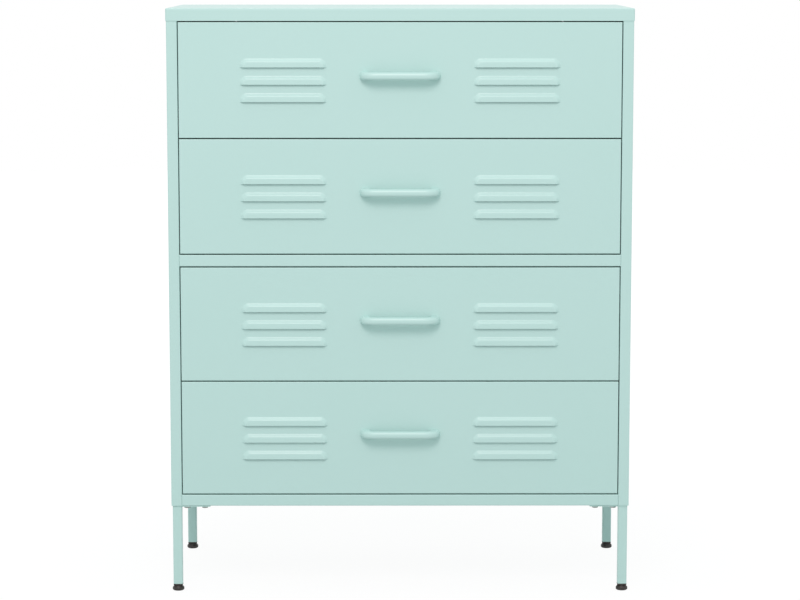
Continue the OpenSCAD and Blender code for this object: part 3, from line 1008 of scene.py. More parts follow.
@dataclass
class Legs:
    """Square tubes under welded plates, with their bolts and the inserts for the feet."""

    tube: float = 16.0
    wall: float = 1.2
    corner: float = 2.0
    plate: float = 2.0
    arm_width: float = 20.0
    plate_corner: float = 3.0
    tube_end: float = 12.0  # height of the tube's open end
    tube_edge: float = 0.25
    bead: float = 1.5
    bead_sink: float = 0.15  # share of the bead that is below the plate's underside
    bead_end: float = 1.5
    ripple: float = 1.3
    unevenness: float = 0.18
    weld_seed: int = 7
    collar: Span = (9.1, 12.0)
    collar_edge: float = 0.5
    plug_play: float = 0.1
    plug_top: float = 36.1
    plug_lead: float = 1.5  # chamfer that leads the plug into the tube
    bolt_steps: Span = (9.0, 40.0)

    def plan(self) -> tuple[Vector, Vector]:
        """The lowest and the highest corner of the front right tube, from above."""
        low, high = box("leg_front_right")
        return Vector((high.x - self.tube, low.y)), Vector((high.x, low.y + self.tube))

    def leg(self) -> Shape:
        """Makes the front right leg.

        Returns:
            The tube and its plate.
        """
        low, high = box("leg_front_right")
        top, end, edge, wall = high.z - self.plate, self.tube_end, self.tube_edge, self.wall
        outside = flat((edge, end), (0, end + edge), (0, top))
        inside = flat((wall, top), (wall, end + edge), (wall - edge, end))
        rings = stacked(*self.plan(), self.corner, outside + inside)
        x, y = high.x - self.arm_width, low.y + self.arm_width
        outer = flat((low.x, low.y), (high.x, low.y), (high.x, high.y))
        corners = outer + flat((x, high.y), (x, y), (low.x, y))
        r = self.plate_corner
        outline = fold(corners, (r, self.corner, r, r, r, r), closed=True)
        shape = Shape().sheet(rings, ring=True, loop=True)
        return shape.plate([outline], (top, high.z), Along.Z)

    def bead_line(self) -> list[Vector]:
        """Finds the inner seam between the front right tube and its plate.

        Returns:
            The seam's points.
        """
        high = box("leg_front_right")[1]
        (x, y0), (x1, y) = self.plan()
        z = high.z - self.plate - self.bead * self.bead_sink
        ends = (x, y0 + self.bead_end), (x1 - self.bead_end, y)
        run = fold(flat(ends[0], (x, y), ends[1]), self.corner)
        return [Along.Z.place(p, z) for p in run]

    def welds(self) -> Object:
        """Makes the beads on all four legs.

        Returns:
            One object with all of them.
        """
        line = self.bead_line()
        points = [corner.place(p) * MM for corner in CORNERS for p in line]
        steps = [i for i in range(len(points)) if (i + 1) % len(line)]
        mesh = bpy.data.meshes.new("weld_beads")
        mesh.from_pydata(points, [(i, i + 1) for i in steps], [])
        inputs = {
            "Ripple": self.ripple * MM,
            "Bead": self.bead * MM,
            "Unevenness": self.unevenness,
            "Seed": self.weld_seed,
            "Material": POWDER_COAT.material(),
        }
        return grow(put("weld_beads", mesh), weld_tree(), inputs)

    def inserts(self) -> Object:
        """Makes the plastic plugs that hold the feet, whose collars show under the tubes.

        Returns:
            One object with all four.
        """
        (start, end), edge, top = self.collar, self.collar_edge, self.plug_top
        plug, lead = self.wall + self.plug_play, self.plug_lead
        collar = flat((edge, start), (0, start + edge), (0, end))
        stem = flat((plug, end), (plug, top - lead), (plug + lead, top))
        one = Shape().loft(stacked(*self.plan(), self.corner, collar + stem))
        return Shape().join(*(one.moved(c.place) for c in CORNERS)).body("leg_plugs")

    def bolt_spots(self) -> list[Span]:
        """Finds where the sixteen bolts stand.

        Returns:
            The X and Y of each.
        """
        low, high = box("leg_front_right")
        middle, spots = self.arm_width / 2, []
        for step in self.bolt_steps:
            spots.append(Vector((high.x - self.tube - step, low.y + middle, 0)))
            spots.append(Vector((high.x - middle, low.y + self.tube + step, 0)))
        return [tuple(corner.place(p))[:2] for corner in CORNERS for p in spots]

    def build(self) -> None:
        """Makes and dresses the legs, their welds and their inserts."""
        one = self.leg()
        for corner in CORNERS:
            piece = one.moved(corner.place).body(f"tube_{corner.name}")
            fit(piece, "case", [f"leg_{corner.name}"], POWDER_COAT)
        fit(self.welds(), "case", [], POWDER_COAT)
        fit(self.inserts(), "case", ["leg_inserts"], BLACK_POLYPROPYLENE)


@dataclass
class Feet:
    """Four levelling feet: a black base moulded round a threaded stud."""

    radius: float = 10.25
    bevel: float = 1.6
    height: float = 9.0
    shoulder: float = 4.2
    neck: float = 7.0
    rounds: tuple[float, ...] = (0, 0.8, 0.8, 1.4, 0.6, 0)  # at each corner of the section
    flats: int = 56
    stud: float = 3.0
    pitch: float = 1.0
    depth: float = 0.55
    chamfer: float = 0.8
    net: tuple[int, int] = (29, 195)  # the thread's points round and along the stud

    def base(self, name: str, place: Matrix) -> Object:
        """Makes one base.

        Args:
            name: The new object's name.
            place: Where its axis meets the floor.

        Returns:
            The base.
        """
        r, top = self.radius, self.height
        lower = flat((0, 0), (r - self.bevel, 0), (r, self.bevel), (r, top - self.shoulder))
        profile = fold(lower + flat((self.neck, top), (0, top)), self.rounds)
        return Shape().lathe(profile, self.flats, place).body(name)

    def build(self) -> None:
        """Makes and dresses each foot's base and stud."""
        rod = thread_tree()
        sizes = {"Radius": self.stud, "Pitch": self.pitch, "Depth": self.depth}
        sizes["Chamfer"] = self.chamfer
        inputs = {name: size * MM for name, size in sizes.items()}
        inputs |= dict(zip(("Around", "Rows"), self.net))
        inputs["Material"] = BRIGHT_ZINC.material()
        for corner in CORNERS:
            body = f"foot_{corner.name}"
            low, high = box(f"foot_base_{corner.name}")
            x, y = (low.x + high.x) / 2, (low.y + high.y) / 2
            base = self.base(f"glide_{corner.name}", Matrix.Translation((x, y, low.z)))
            fit(base, body, [f"foot_base_{corner.name}"], BLACK_POLYPROPYLENE)
            start, end = box(f"foot_stud_{corner.name}")
            inputs["Start"] = Vector((x, y, start.z)) * MM
            inputs["Length"] = (end.z - start.z) * MM
            stud = grow(Shape().body(f"stud_{corner.name}"), rod, inputs)
            fit(stud, body, [f"foot_stud_{corner.name}"], BRIGHT_ZINC)


# Screws, bolts and rivets


@dataclass
class Fixings:
    """One pattern of each kind of fastener, put wherever the cabinet has it."""

    head: float = 4.0
    head_height: float = 2.4
    head_rim: float = 0.25
    head_flat: float = 2.5  # radius of the flat round the recess
    head_flats: int = 24
    dome: float = 0.924  # sine of the angle where the dome meets its flat
    dome_steps: int = 8  # in a whole quarter turn
    shank: float = 2.0
    point: float = 0.6
    long_screw: float = 12.0
    short_screw: float = 8.0
    recess: Span = (0.5, 1.9)  # half the width of its arms, and their reach
    recess_floor: Span = (0.72, 1.3)  # its size there, as a share, and its depth
    flats: float = 10.0  # across the flats of a bolt's head or a nut
    face_edge: float = 0.25
    chamfer: float = math.radians(30)
    chamfer_steps: int = 5
    hexagon_steps: int = 48  # flats round the bore, the shank and the chamfers
    bolt_head: float = 3.5
    bolt: float = 3.0
    bolt_length: float = 8.8
    bolt_point: float = 0.8
    nut: float = 5.0
    nut_play: float = 0.05
    rivet_head: float = 3.6
    rivet_height: float = 0.9
    rivet_tail: float = 2.8
    rivet: float = 2.0
    rivet_rim: float = 0.3
    rivet_crown: float = 1.5  # radius of the dome's flat
    rivet_rounds: tuple[float, ...] = (
        *(0, 0.7, 0.5, 0.05),  # of the blind side
        *(0.05, 0.1, 0.2, 0.2),  # of the dome
        *(0.1, 0.05, 0.05, 0.1, 0),  # of the mandrel and its hole
    )
    rivet_flats: int = 28
    mandrel: float = 0.8
    mandrel_hole: Span = (1.1, 0.2)  # its radius, and the height of its floor
    mandrel_ends: Span = (0.4, 0.45)  # how far it stands out behind, and its height in front
    grip: float = 1.5  # thickness of what a rivet holds
    tail: float = 2.5
    back_rivets: tuple[float, ...] = (192.0, 382.375, 572.75, 763.125, 953.5)
    back_rivet_x: float = 389.75
    base_rivets: tuple[float, ...] = (-230.5, 0.0, 230.5)
    base_rivet_z: float = 161.0
    rail_rivet: tuple[float, float, float] = (379.6, -151.0, 582.5)
    seed: int = 11

    def __post_init__(self) -> None:
        """Makes the tree and a place for the patterns."""
        self.tree = fixing_tree()
        self.patterns: dict[str, Object] = {}

    def screw(self, length: float) -> Shape:
        """Makes a pan-head screw with a cross recess, its head towards +Z.

        Args:
            length: The length under the head.

        Returns:
            The screw.
        """
        rim, top = self.head_rim, self.head_height
        crown, steps = self.head_flat, self.head_flats
        tip = flat((0, -length), (self.shank - self.point, -length))
        side = fold(tip + flat((self.shank, self.point - length)), SHARP)
        side += flat((self.shank, 0), (self.head - rim, 0), (self.head, rim))
        for turn in quarter(self.dome_steps)[1:-2]:
            r = crown + (self.head - crown) * math.cos(turn)
            side.append(Vector((r, rim + (top - rim) * math.sin(turn) / self.dome)))
        shape = Shape().lathe(side + flat((crown, top)), steps)
        (wide, reach), (share, depth) = self.recess, self.recess_floor
        half = (reach + wide) / 2
        arm = flat((reach, 0), (reach, wide), (half, wide))
        arm += flat((wide, wide), (wide, half), (wide, reach))
        turns = [Matrix.Rotation(math.pi / 2 * k, 2) for k in range(4)]
        cross = [turn @ p for turn in turns for p in arm]
        rings = [[Along.Z.place(p, top) for p in circle((0, 0), crown, steps)]]
        rings.append([Along.Z.place(p, top) for p in cross])
        rings.append([Along.Z.place(p * share, top - depth) for p in cross])
        start = len(shape.points) + 2 * steps
        shape.sheet(rings, ring=True)
        shape.faces.append(tuple(start + i for i in range(steps)))
        return shape

    def hexagon_radius(self, turn: float) -> float:
        """The distance from the middle to a hexagon's side, in one direction."""
        return self.flats / 2 / math.cos((turn + math.pi / 6) % (math.pi / 3) - math.pi / 6)

    def hexagon(self, height: float, is_nut: bool) -> Shape:
        """Makes a bolt or a nut, with the corners of its flats chamfered.

        Args:
            height: The height of the bolt's head, or of the nut.
            is_nut: Whether it is a nut, which has a bore and both ends chamfered.

        Returns:
            The shape, its outer side towards +Z.
        """
        steps, arc = self.hexagon_steps, self.chamfer_steps
        inner, slope = self.flats / 2 - self.face_edge, math.tan(self.chamfer)
        drop = (self.hexagon_radius(math.pi / 6) - inner) * slope
        levels = [(drop * k / arc, inner + drop * k / arc / slope) for k in range(arc + 1)]
        rows = levels if is_nut else [(0.0, self.flats)]
        rows = rows + [(height - z, reach) for z, reach in reversed(levels)]
        turns = [math.tau * i / steps for i in range(steps)]
        rings = []
        for z, reach in rows:
            edge = [(min(self.hexagon_radius(t), reach), t) for t in turns]
            rings.append([Vector((r * math.cos(t), r * math.sin(t), z)) for r, t in edge])

        def round_row(radius: float, z: float) -> list[Vector]:
            """A ring of the bore or the shank."""
            return [Along.Z.place(p, z) for p in circle((0, 0), radius, steps)]

        if is_nut:
            bore = self.bolt + self.nut_play
            rings += [round_row(bore, height), round_row(bore, 0.0)]
            return Shape().sheet(rings, ring=True, loop=True)
        end, point = -self.bolt_length, self.bolt_point
        shank = [round_row(self.bolt - point, end), round_row(self.bolt, point + end)]
        return Shape().loft([*shank, round_row(self.bolt, 0.0), *rings])

    def blind_rivet(self) -> Shape:
        """Makes a set blind rivet: a low dome with the broken mandrel in its middle.

        Returns:
            The rivet, its dome towards +Z.
        """
        deep, top, core = -self.grip - self.tail, self.rivet_height, self.mandrel
        tail, body, head = self.rivet_tail, self.rivet, self.rivet_head
        (bore, sunk), (behind, front) = self.mandrel_hole, self.mandrel_ends
        corners = flat((bore, deep), (tail, deep), (tail, -self.grip), (body, -self.grip))
        corners += flat((body, 0), (head, 0), (head, self.rivet_rim), (self.rivet_crown, top))
        corners += flat((bore, top), (bore, sunk), (core, sunk), (core, front), (0, front))
        stub = flat((0, deep - behind), (core, deep - behind))
        profile = stub + fold(corners, self.rivet_rounds, SMALL_ARC)
        return Shape().lathe(profile, self.rivet_flats)

    def pattern(self, kind: str) -> Object:
        """Makes the pattern of one kind of fastener, once.

        Args:
            kind: The kind of fastener.

        Returns:
            The pattern.
        """
        if kind not in self.patterns:
            makers: dict[str, Callable[[], Shape]] = {
                "long_screw": partial(self.screw, self.long_screw),
                "short_screw": partial(self.screw, self.short_screw),
                "bolt": partial(self.hexagon, self.bolt_head, False),
                "nut": partial(self.hexagon, self.nut, True),
                "rivet": self.blind_rivet,
            }
            self.patterns[kind] = makers[kind]().body(f"pattern_{kind}")
        return self.patterns[kind]

    def scatter(
        self,
        name: str,
        kind: Object | str,
        spots: Sequence[Spot],
        finish: Finish,
        roll: float = math.tau,
    ) -> Object:
        """Puts one pattern at many places.

        Args:
            name: The new object's name.
            kind: The kind of fastener, or a pattern of another shape.
            spots: Each place and the direction that its head faces.
            finish: The fasteners' finish.
            roll: The most that each is turned round its own axis.

        Returns:
            One object with all of them.
        """
        mesh = bpy.data.meshes.new(name)
        mesh.from_pydata([Vector(place) * MM for place, way in spots], [], [])
        axis = mesh.attributes.new("axis", "FLOAT_VECTOR", "POINT")
        axis.data.foreach_set("vector", [x for place, way in spots for x in way])
        inputs = {
            "Fixing": self.pattern(kind) if isinstance(kind, str) else kind,
            "Roll": roll,
            "Seed": self.seed,
            "Material": finish.material(),
        }
        return grow(put(name, mesh), self.tree, inputs)

    def build(self, legs: Legs) -> None:
        """Makes and dresses the fasteners of the case.

        Args:
            legs: The legs, whose bolts these are.
        """
        plate = box("leg_front_right")[1].z - legs.plate
        floor, back = box("weld_nuts")[0].z, box("back_panel")[1].y
        spots, (x, y, z) = legs.bolt_spots(), self.rail_rivet
        bolts = [((*spot, plate), (0, 0, -1)) for spot in spots]
        nuts = [((*spot, floor), (0, 0, 1)) for spot in spots]
        rivets = [((x0, back, self.base_rivet_z), (0, 1, 0)) for x0 in self.base_rivets]
        for side in (-1, 1):
            edge = side * self.back_rivet_x
            rivets += [((edge, back, row), (0, 1, 0)) for row in self.back_rivets]
            rivets.append(((side * x, y, z), (-side, 0, 0)))
        for kind, places, node, finish in (
            ("bolt", bolts, "leg_bolts", DULL_ZINC),
            ("nut", nuts, "weld_nuts", DULL_ZINC),
            ("rivet", rivets, "pop_rivets", BRIGHT_ZINC),
        ):
            fit(self.scatter(f"{kind}_set", kind, places, finish), "case", [node], finish)

    def clear(self) -> None:
        """Removes the patterns, which aren't part of the cabinet."""
        for pattern in self.patterns.values():
            bpy.data.objects.remove(pattern)


# Runners


@dataclass
class Runners:
    """The two members of a roller runner, its pins and its nylon rollers."""

    sheet: float = 1.2
    bend: float = 1.2  # radius of a fold, to the middle of the sheet
    inner: float = 2.5  # where the case member starts, across from the tray
    space: float = 12.5  # between the tray and the case
    web: float = 36.0
    channel: float = 16.4  # between the track and the flange over it
    ride: float = 18.0  # height of the flange that rides on the front roller
    ride_width: float = 9.0
    drawer_length: float = 298.0
    cut: float = 22.0  # where the upper flange starts, behind the front roller
    front_stop: float = 40.6
    stop_corner: float = 0.8
    stop_play: float = 0.1
    end_play: float = 0.05
    roller: float = 8.0
    roller_width: float = 7.0
    bore: float = 2.55
    hub: float = 4.1
    rim: float = 6.5
    dish: float = 1.1
    rounds: tuple[float, ...] = (0.2, 0.2, 0.3, 0.3, 0.2, 0.7)  # from the bore to the tread
    roller_flats: int = 44
    ribs: int = 6
    rib: Span = (0.9, 0.45)  # half its width and half its thickness
    rib_corner: float = 0.15
    rib_reach: Span = (3.6, 6.9)
    rib_depth: float = 0.9  # of its middle, under the roller's face
    pin: float = 2.5
    pin_head: float = 4.0
    pin_rounds: tuple[float, ...] = (0, 0.1, 0.15, 0.1, 0.1, 0.15, 0.3, 0)
    pin_flats: int = 28
    play: float = 0.2
    head: float = 0.6  # height of the pin's head
    head_edge: float = 0.3
    weld: float = 0.3  # how deep the pin is welded into its member
    rear_shoulder: float = 1.6
    front_shoulder: float = 0.6
    rear_axle: Span = (290.3, 8.2)  # along and above the track
    front_axle: Span = (12.0, 9.9)
    screw_ends: float = 10.0
    screw_height: float = 27.6

    def __post_init__(self) -> None:
        """Makes the rib that stiffens a roller's face."""
        wide, thick = self.rib
        section = rounded((-wide, wide), (-thick, thick), self.rib_corner, TINY_ARC)
        rings = [[Along.Z.place(p, z) for p in section] for z in self.rib_reach]
        self.rib_body = Shape().loft(rings).body("pattern_rib")

    def origin(self, number: int) -> Vector:
        """The runner's corner beside the tray, at its front end and the track's height."""
        low, high = box(f"case_runners_{number}")
        return Vector((high.x - self.space, low.y, low.z + self.sheet))

    def length(self, number: int) -> float:
        """The length of a case member."""
        low, high = box(f"case_runners_{number}")
        return high.y - low.y

    def pin_shape(self, shoulder: float, place: Matrix) -> Shape:
        """Makes a riveted pin.

        Args:
            shoulder: The height of its shoulder.
            place: Its foot and its axis.

        Returns:
            The pin, with its shoulder, its journal and its domed head.
        """
        r, top, end = self.pin, self.pin_head, shoulder + self.roller_width + 2 * self.play
        foot = flat((0, -self.weld), (top, -self.weld), (top, shoulder), (r, shoulder))
        tip = end + self.head
        head = flat((r, end), (top, end), (top - self.head_edge, tip), (0, tip))
        profile = fold(foot + head, self.pin_rounds, TINY_ARC)
        return Shape().lathe(profile, self.pin_flats, place)

    def case_member(self, number: int) -> Object:
        """Makes the channels screwed to the case.

        Args:
            number: The drawer's number.

        Returns:
            The right and the left one.
        """
        origin, length, t = self.origin(number), self.length(number), self.sheet
        side, upper = self.space - t / 2, self.channel + t / 2
        track = flat((self.inner, -t / 2), (side, -t / 2), (side, self.web))
        shape = Shape().strip(fold(track, self.bend), t, (0, length), Along.Y)
        flange = flat((self.inner, upper), (side, upper))
        shape.strip(flange, t, (self.cut, length - self.end_play), Along.Y)
        outline = rounded((self.inner, side), (-t / 2, upper), self.stop_corner, SMALL_ARC)
        for y in (self.front_stop, length - t):
            shape.plate([outline], (y, y + t - self.stop_play), Along.Y)
        place = turned(Vector((-1, 0, 0)), (self.space - t, *self.front_axle))
        shape.join(self.pin_shape(self.front_shoulder, place))
        return shape.moved(lambda p: p + origin).both_sides().body(f"track_{number}")

    def drawer_member(self, number: int) -> Object:
        """Makes the angles welded to the tray, which ride on the front rollers.

        Args:
            number: The drawer's number.

        Returns:
            The right and the left one.
        """
        origin, t, top = self.origin(number), self.sheet, self.ride + self.sheet / 2
        line = fold(flat((t / 2, -t), (t / 2, top), (self.ride_width, top)), self.bend)
        shape = Shape().strip(line, t, (0, self.drawer_length), Along.Y)
        place = turned(Vector((1, 0, 0)), (t, *self.rear_axle))
        shape.join(self.pin_shape(self.rear_shoulder, place))
        return shape.moved(lambda p: p + origin).both_sides().body(f"slide_{number}")

    def rollers(
        self, name: str, number: int, axle: Span, start: float, fixings: Fixings
    ) -> Object:
        """Makes a pair of rollers.

        Args:
            name: The new object's name.
            number: The drawer's number.
            axle: The pin's place along and above the track.
            start: Where the roller's inner face is, across from the tray.
            fixings: What repeats the ribs.

        Returns:
            The object, with ribs on each face.
        """
        w, hub, rim, dish = self.roller_width, self.hub, self.rim, self.dish
        inner = flat((self.bore, 0), (hub, 0), (hub, dish), (rim, dish), (rim, 0))
        inner += flat((self.roller, 0))
        outer = [Vector((p.x, w - p.y)) for p in reversed(inner)]
        rounds = self.rounds + self.rounds[::-1]
        profile = fold(inner + outer, rounds, SMALL_ARC, closed=True)
        centre = Vector((start, *axle)) + self.origin(number)
        place = turned(Vector((1, 0, 0)), centre)
        disc = Shape().lathe(profile, self.roller_flats, place, loop=True).both_sides()
        spots: list[Spot] = []
        for sign in (-1, 1):
            for face in (self.rib_depth, w - self.rib_depth):
                x = sign * (centre.x + face)
                for k in range(self.ribs):
                    turn = math.tau * (k + 0.5) / self.ribs
                    way = (0.0, math.sin(turn), math.cos(turn))
                    spots.append(((x, centre.y, centre.z), way))
        body = disc.body(name)
        ribs = fixings.scatter(f"{name}_ribs", self.rib_body, spots, CAST_NYLON, 0.0)
        return merged(name, [body, ribs])

    def screw_spots(self, number: int) -> list[Spot]:
        """Finds where the screws of one pair of case members stand.

        Args:
            number: The drawer's number.

        Returns:
            Each screw's place, and the way that its head faces.
        """
        o, ends = self.origin(number), (self.screw_ends, self.length(number) - self.screw_ends)
        x, z = o.x + self.space - self.sheet, o.z + self.screw_height
        return [((side * x, o.y + y, z), (-side, 0, 0)) for side in (-1, 1) for y in ends]

    def build(self, fixings: Fixings) -> None:
        """Makes and dresses the runners and rollers of all four drawers.

        Args:
            fixings: What repeats the screws and ribs.
        """
        screws: list[Spot] = []
        front = self.space - self.sheet - self.front_shoulder - self.play - self.roller_width
        rear = self.sheet + self.rear_shoulder + self.play
        for n in DRAWERS:
            fit(self.case_member(n), "case", [f"case_runners_{n}"], BRIGHT_ZINC)
            fit(self.drawer_member(n), f"drawer_{n}", [f"drawer_{n}_runners"], BRIGHT_ZINC)
            for end, axle, start, node in (
                ("front", self.front_axle, front, f"front_rollers_{n}"),
                ("rear", self.rear_axle, rear, f"drawer_{n}_rear_rollers"),
            ):
                pair = self.rollers(f"{end}_wheels_{n}", n, axle, start, fixings)
                fit(pair, f"{end}_rollers_{n}", [node], CAST_NYLON)
            screws += self.screw_spots(n)
        held = fixings.scatter("runner_screw_set", "short_screw", screws, BRIGHT_ZINC)
        fit(held, "case", ["runner_screws"], BRIGHT_ZINC)
        bpy.data.objects.remove(self.rib_body)


# Drawers


def ramp(t: float, soft: float) -> float:
    """A slope from 0 to 1 between t = 0 and t = 1, with rounded ends.

    Args:
        t: The place on the slope.
        soft: How much of the slope each rounding takes, on either side of its end.

    Returns:
        The height.
    """
    if t < soft:
        return max(t + soft, 0.0) ** 2 / (4 * soft)
    if t > 1 - soft:
        return 1 - max(1 + soft - t, 0.0) ** 2 / (4 * soft)
    return t


def soft_least(a: float, b: float, soft: float) -> float:
    """The lesser of two numbers, with a rounded crease where they meet."""
    share = min(max(0.5 + (b - a) / (2 * soft), 0.0), 1.0)
    return b * (1 - share) + a * share - soft * share * (1 - share)


@dataclass
class Louvre:
    """One pressed louvre: a sloping top and ends, an upright face, and a slot below.

    Its Z counts from the slot, and its X from its middle.
    """

    half: float = 74.0
    height: float = 15.0
    reach: float = 4.0
    upper_reach: float = 3.8  # of the face's upper end
    slope: float = 5.0
    end_slope: float = 5.5
    shoulder: Span = (73.6, 7.5)  # where the end stops being upright
    crown: Span = (65.0, 15.0)  # where the end meets the top
    soft: float = 0.25  # share of a slope that each of its ends' rounding takes
    crease: float = 0.4
    patch: Span = (76.0, 17.5)  # half the width and the height of the sheet round it
    below: float = 1.5  # how much of the patch lies under the slot
    low_rows: tuple[float, ...] = (0.0, 0.7, 2.2, 4.2, 6.4)
    fine: tuple[int, int] = (26, 16)  # steps across the sloping ends and up the sloping top
    margin: Span = (1.4, 1.2)  # how many slopes' width is fine, at the ends and the top

    def columns(self) -> list[float]:
        """Finds the patch's lines across, fine where the ends slope.

        Returns:
            Their X.
        """
        steps, inner = self.fine[0], self.crown[0] - self.end_slope * self.margin[0]
        right = [inner + (self.patch[0] - inner) * i / steps for i in range(steps + 1)]
        return [-x for x in reversed(right)] + right

    def rows(self) -> list[float]:
        """Finds the patch's lines upwards from the slot, fine where the top slopes.

        Returns:
            Their Z.
        """
        steps, lower = self.fine[1], self.height - self.slope * self.margin[1]
        top = [lower + (self.patch[1] - lower) * i / steps for i in range(steps + 1)]
        return [*self.low_rows, *top]

    def rise(self, x: float, z: float) -> float:
        """Works out how far the sheet stands out at a point.

        Args:
            x: The point's X.
            z: Its Z.

        Returns:
            The distance.
        """
        (sx, sz), (cx, cz) = self.shoulder, self.crown
        end = (self.half + (sx - self.half) * z / sz - abs(x)) / self.end_slope
        run = math.hypot(cx - sx, cz - sz)
        slant = ((cz - sz) * (sx - abs(x)) - (cx - sx) * (sz - z)) / run / self.end_slope
        top = (self.height - z) / self.slope - self.soft / 2
        least = soft_least(soft_least(end, slant, self.crease), top, self.crease)
        share = min(z / (self.height - self.slope), 1.0)
        reach = self.reach + (self.upper_reach - self.reach) * share
        return reach * ramp(least, self.soft)

    def body(self) -> Object:
        """Makes the patch of sheet with the louvre in it, open along its slot.

        Returns:
            The pattern.
        """
        xs = self.columns()
        rows = [[Vector((x, -self.rise(x, z), z)) for x in xs] for z in self.rows()]
        apron = [[Vector((x, 0, z)) for x in xs] for z in (-self.below, 0.0)]
        return Shape().sheet(rows).sheet(apron).body("pattern_louvre", outward=False)


@dataclass
class Drawer:
    """A drawer: its folded front with louvres, its tray, its grip and its screws."""

    number: int
    fixings: Fixings
    bank: Tree
    louvre: Louvre
    louvre_body: Object
    sheet: float = 0.8
    bend: float = 1.4
    lip: float = 30.0
    side_lip: float = 10.0
    group: float = 200.0  # from the drawer's middle to a group of louvres
    rows: int = 3
    pitch: float = 29.5
    seam: float = 0.02
    mid_lines: tuple[float, ...] = (-90.0, 0.0, 90.0)
    tray_sheet: float = 0.7
    tray_fold: float = 1.5
    tray_corner: float = 1.2
    tray_flat: float = 25.0  # how far in the flat floor is closed
    hem: float = 8.0
    hem_step: float = 0.6
    hem_gap: float = 0.05
    hem_round: float = 0.9  # share of the hem's thickness that is rounded
    hem_corner: float = 0.2
    grip_run: float = 27.0  # width of the grip's outer curve at each end
    grip_inner_run: float = 7.0
    grip_bar: float = 8.0
    grip_foot: float = 2.0
    grip_steps: int = 18
    grip_rounds: tuple[float, ...] = (1.5, 5.6, 6.2, 1.5)  # back, front, front, back
    grip_arc: int = 7
    tray_screws: tuple[float, ...] = (-303.0, 0.0, 303.0)
    tray_screw_heights: Span = (19.0, 175.5)

    def box(self, part: str) -> tuple[Vector, Vector]:
        """The lowest and the highest corner of one of the drawer's CAD nodes."""
        return box(f"drawer_{self.number}_{part}")

    def lines(self, low: float, high: float, inner: list[float]) -> list[Span]:
        """Finds the lines of the front's grid in one direction.

        Args:
            low: Its lower edge.
            high: Its upper edge.
            inner: The lines between its folds.

        Returns:
            Each line's place, and how far the fold has turned the sheet back there.
        """
        r = self.bend
        arc = [(r * (1 - math.sin(turn)), r * (1 - math.cos(turn))) for turn in quarter()]
        left = [(low + d, y) for d, y in reversed(arc)]
        right = [(high - d, y) for d, y in arc]
        return left + [(x, 0.0) for x in inner] + right

    def drawn_in(
        self, rim: Sequence[Vector], side: float, upper: float, y: float
    ) -> list[Vector]:
        """Draws the front's rim in towards its middle.

        Args:
            rim: The rim's points.
            side: How far the sides come in.
            upper: How far the upper and lower edges come in.
            y: The new ring's depth.

        Returns:
            The new ring.
        """
        low, high = self.box("front")
        ring = []
        for p in rim:
            x = min(max(p.x, low.x + side), high.x - side)
            ring.append(Vector((x, y, min(max(p.z, low.z + upper), high.z - upper))))
        return ring

    def front(self) -> Object:
        """Makes the front: folded back on all sides, then in to the lips for the tray.

        Returns:
            The front, with its louvres.
        """
        low, high = self.box("front")
        face = box("mid_rail")[0].y
        (patch, tall), below = self.louvre.patch, self.louvre.below
        middle = (low.z + high.z - self.louvre.height) / 2
        slots = [middle + (k - self.rows // 2) * self.pitch for k in range(self.rows)]
        across = [sx * self.group + x for sx in (-1, 1) for x in self.louvre.columns()]
        upward = [slot + z for slot in slots for z in (-below, *self.louvre.rows())]
        xs = self.lines(low.x, high.x, sorted([*across, *self.mid_lines]))
        zs = self.lines(low.z, high.z, upward)
        grid = [[Vector((x, face + max(dx, dz), z)) for x, dx in xs] for z, dz in zs]
        cells = []
        for j, (z0, z1) in enumerate(zip(grid, grid[1:])):
            z = (z0[0].z + z1[0].z) / 2
            in_row = any(slot - below < z < slot + tall for slot in slots)
            for i, (x0, x1) in enumerate(zip(xs, xs[1:])):
                if in_row and abs(abs(x0[0] + x1[0]) / 2 - self.group) < patch:
                    continue
                cell = j * len(xs) + i
                cells.append((cell, cell + 1, cell + len(xs) + 1, cell + len(xs)))
        shape = Shape().add([p for row in grid for p in row], cells)
        rim = grid[0][:-1] + [row[-1] for row in grid[:-1]]
        rim += grid[-1][:0:-1] + [row[0] for row in grid[:0:-1]]
        rings = [rim]
        for turn in quarter():
            inset, back = self.bend * (1 - math.cos(turn)), self.bend * (1 - math.sin(turn))
            rings.append(self.drawn_in(rim, inset, inset, high.y - back))
        rings.append(self.drawn_in(rim, self.side_lip, self.lip, high.y))
        shape.sheet(list(reversed(rings)), ring=True)
        inputs = {
            "Louvre": self.louvre_body,
            "Rows": self.rows,
            "Group reach": self.group * MM,
            "Face": face * MM,
            "Lowest slot": slots[0] * MM,
            "Pitch": self.pitch * MM,
            "Seam": self.seam * MM,
            "Material": POWDER_COAT.material(),
        }
        piece = grow(shape.body(f"front_{self.number}", outward=False), self.bank, inputs)
        wall = piece.modifiers.new("sheet", "SOLIDIFY")
        wall.thickness = self.sheet * MM
        wall.offset = -1
        wall.use_even_offset = True
        return settle(piece)

    def tray_wall(self, hem: float) -> Flat:
        """Draws a tray wall's section, from the floor's underside round to its upper side.

        Args:
            hem: The thickness of the wall's hem.

        Returns:
            The section, as distances in from the tray's side and heights.
        """
        low, high = self.box("tray")
        t, start, step = self.tray_sheet, self.tray_flat, high.z - self.hem
        outside = flat((start, low.z), (0, low.z), (0, high.z), (hem, high.z))
        inside = flat((hem, step + self.hem_step), (t, step))
        inside += flat((t, low.z + t), (start, low.z + t))
        top, corner = hem / 2 * self.hem_round, self.hem_corner
        radii = (0, self.tray_fold, top, top, corner, corner, self.tray_fold - t, 0)
        return fold(outside + inside, radii)

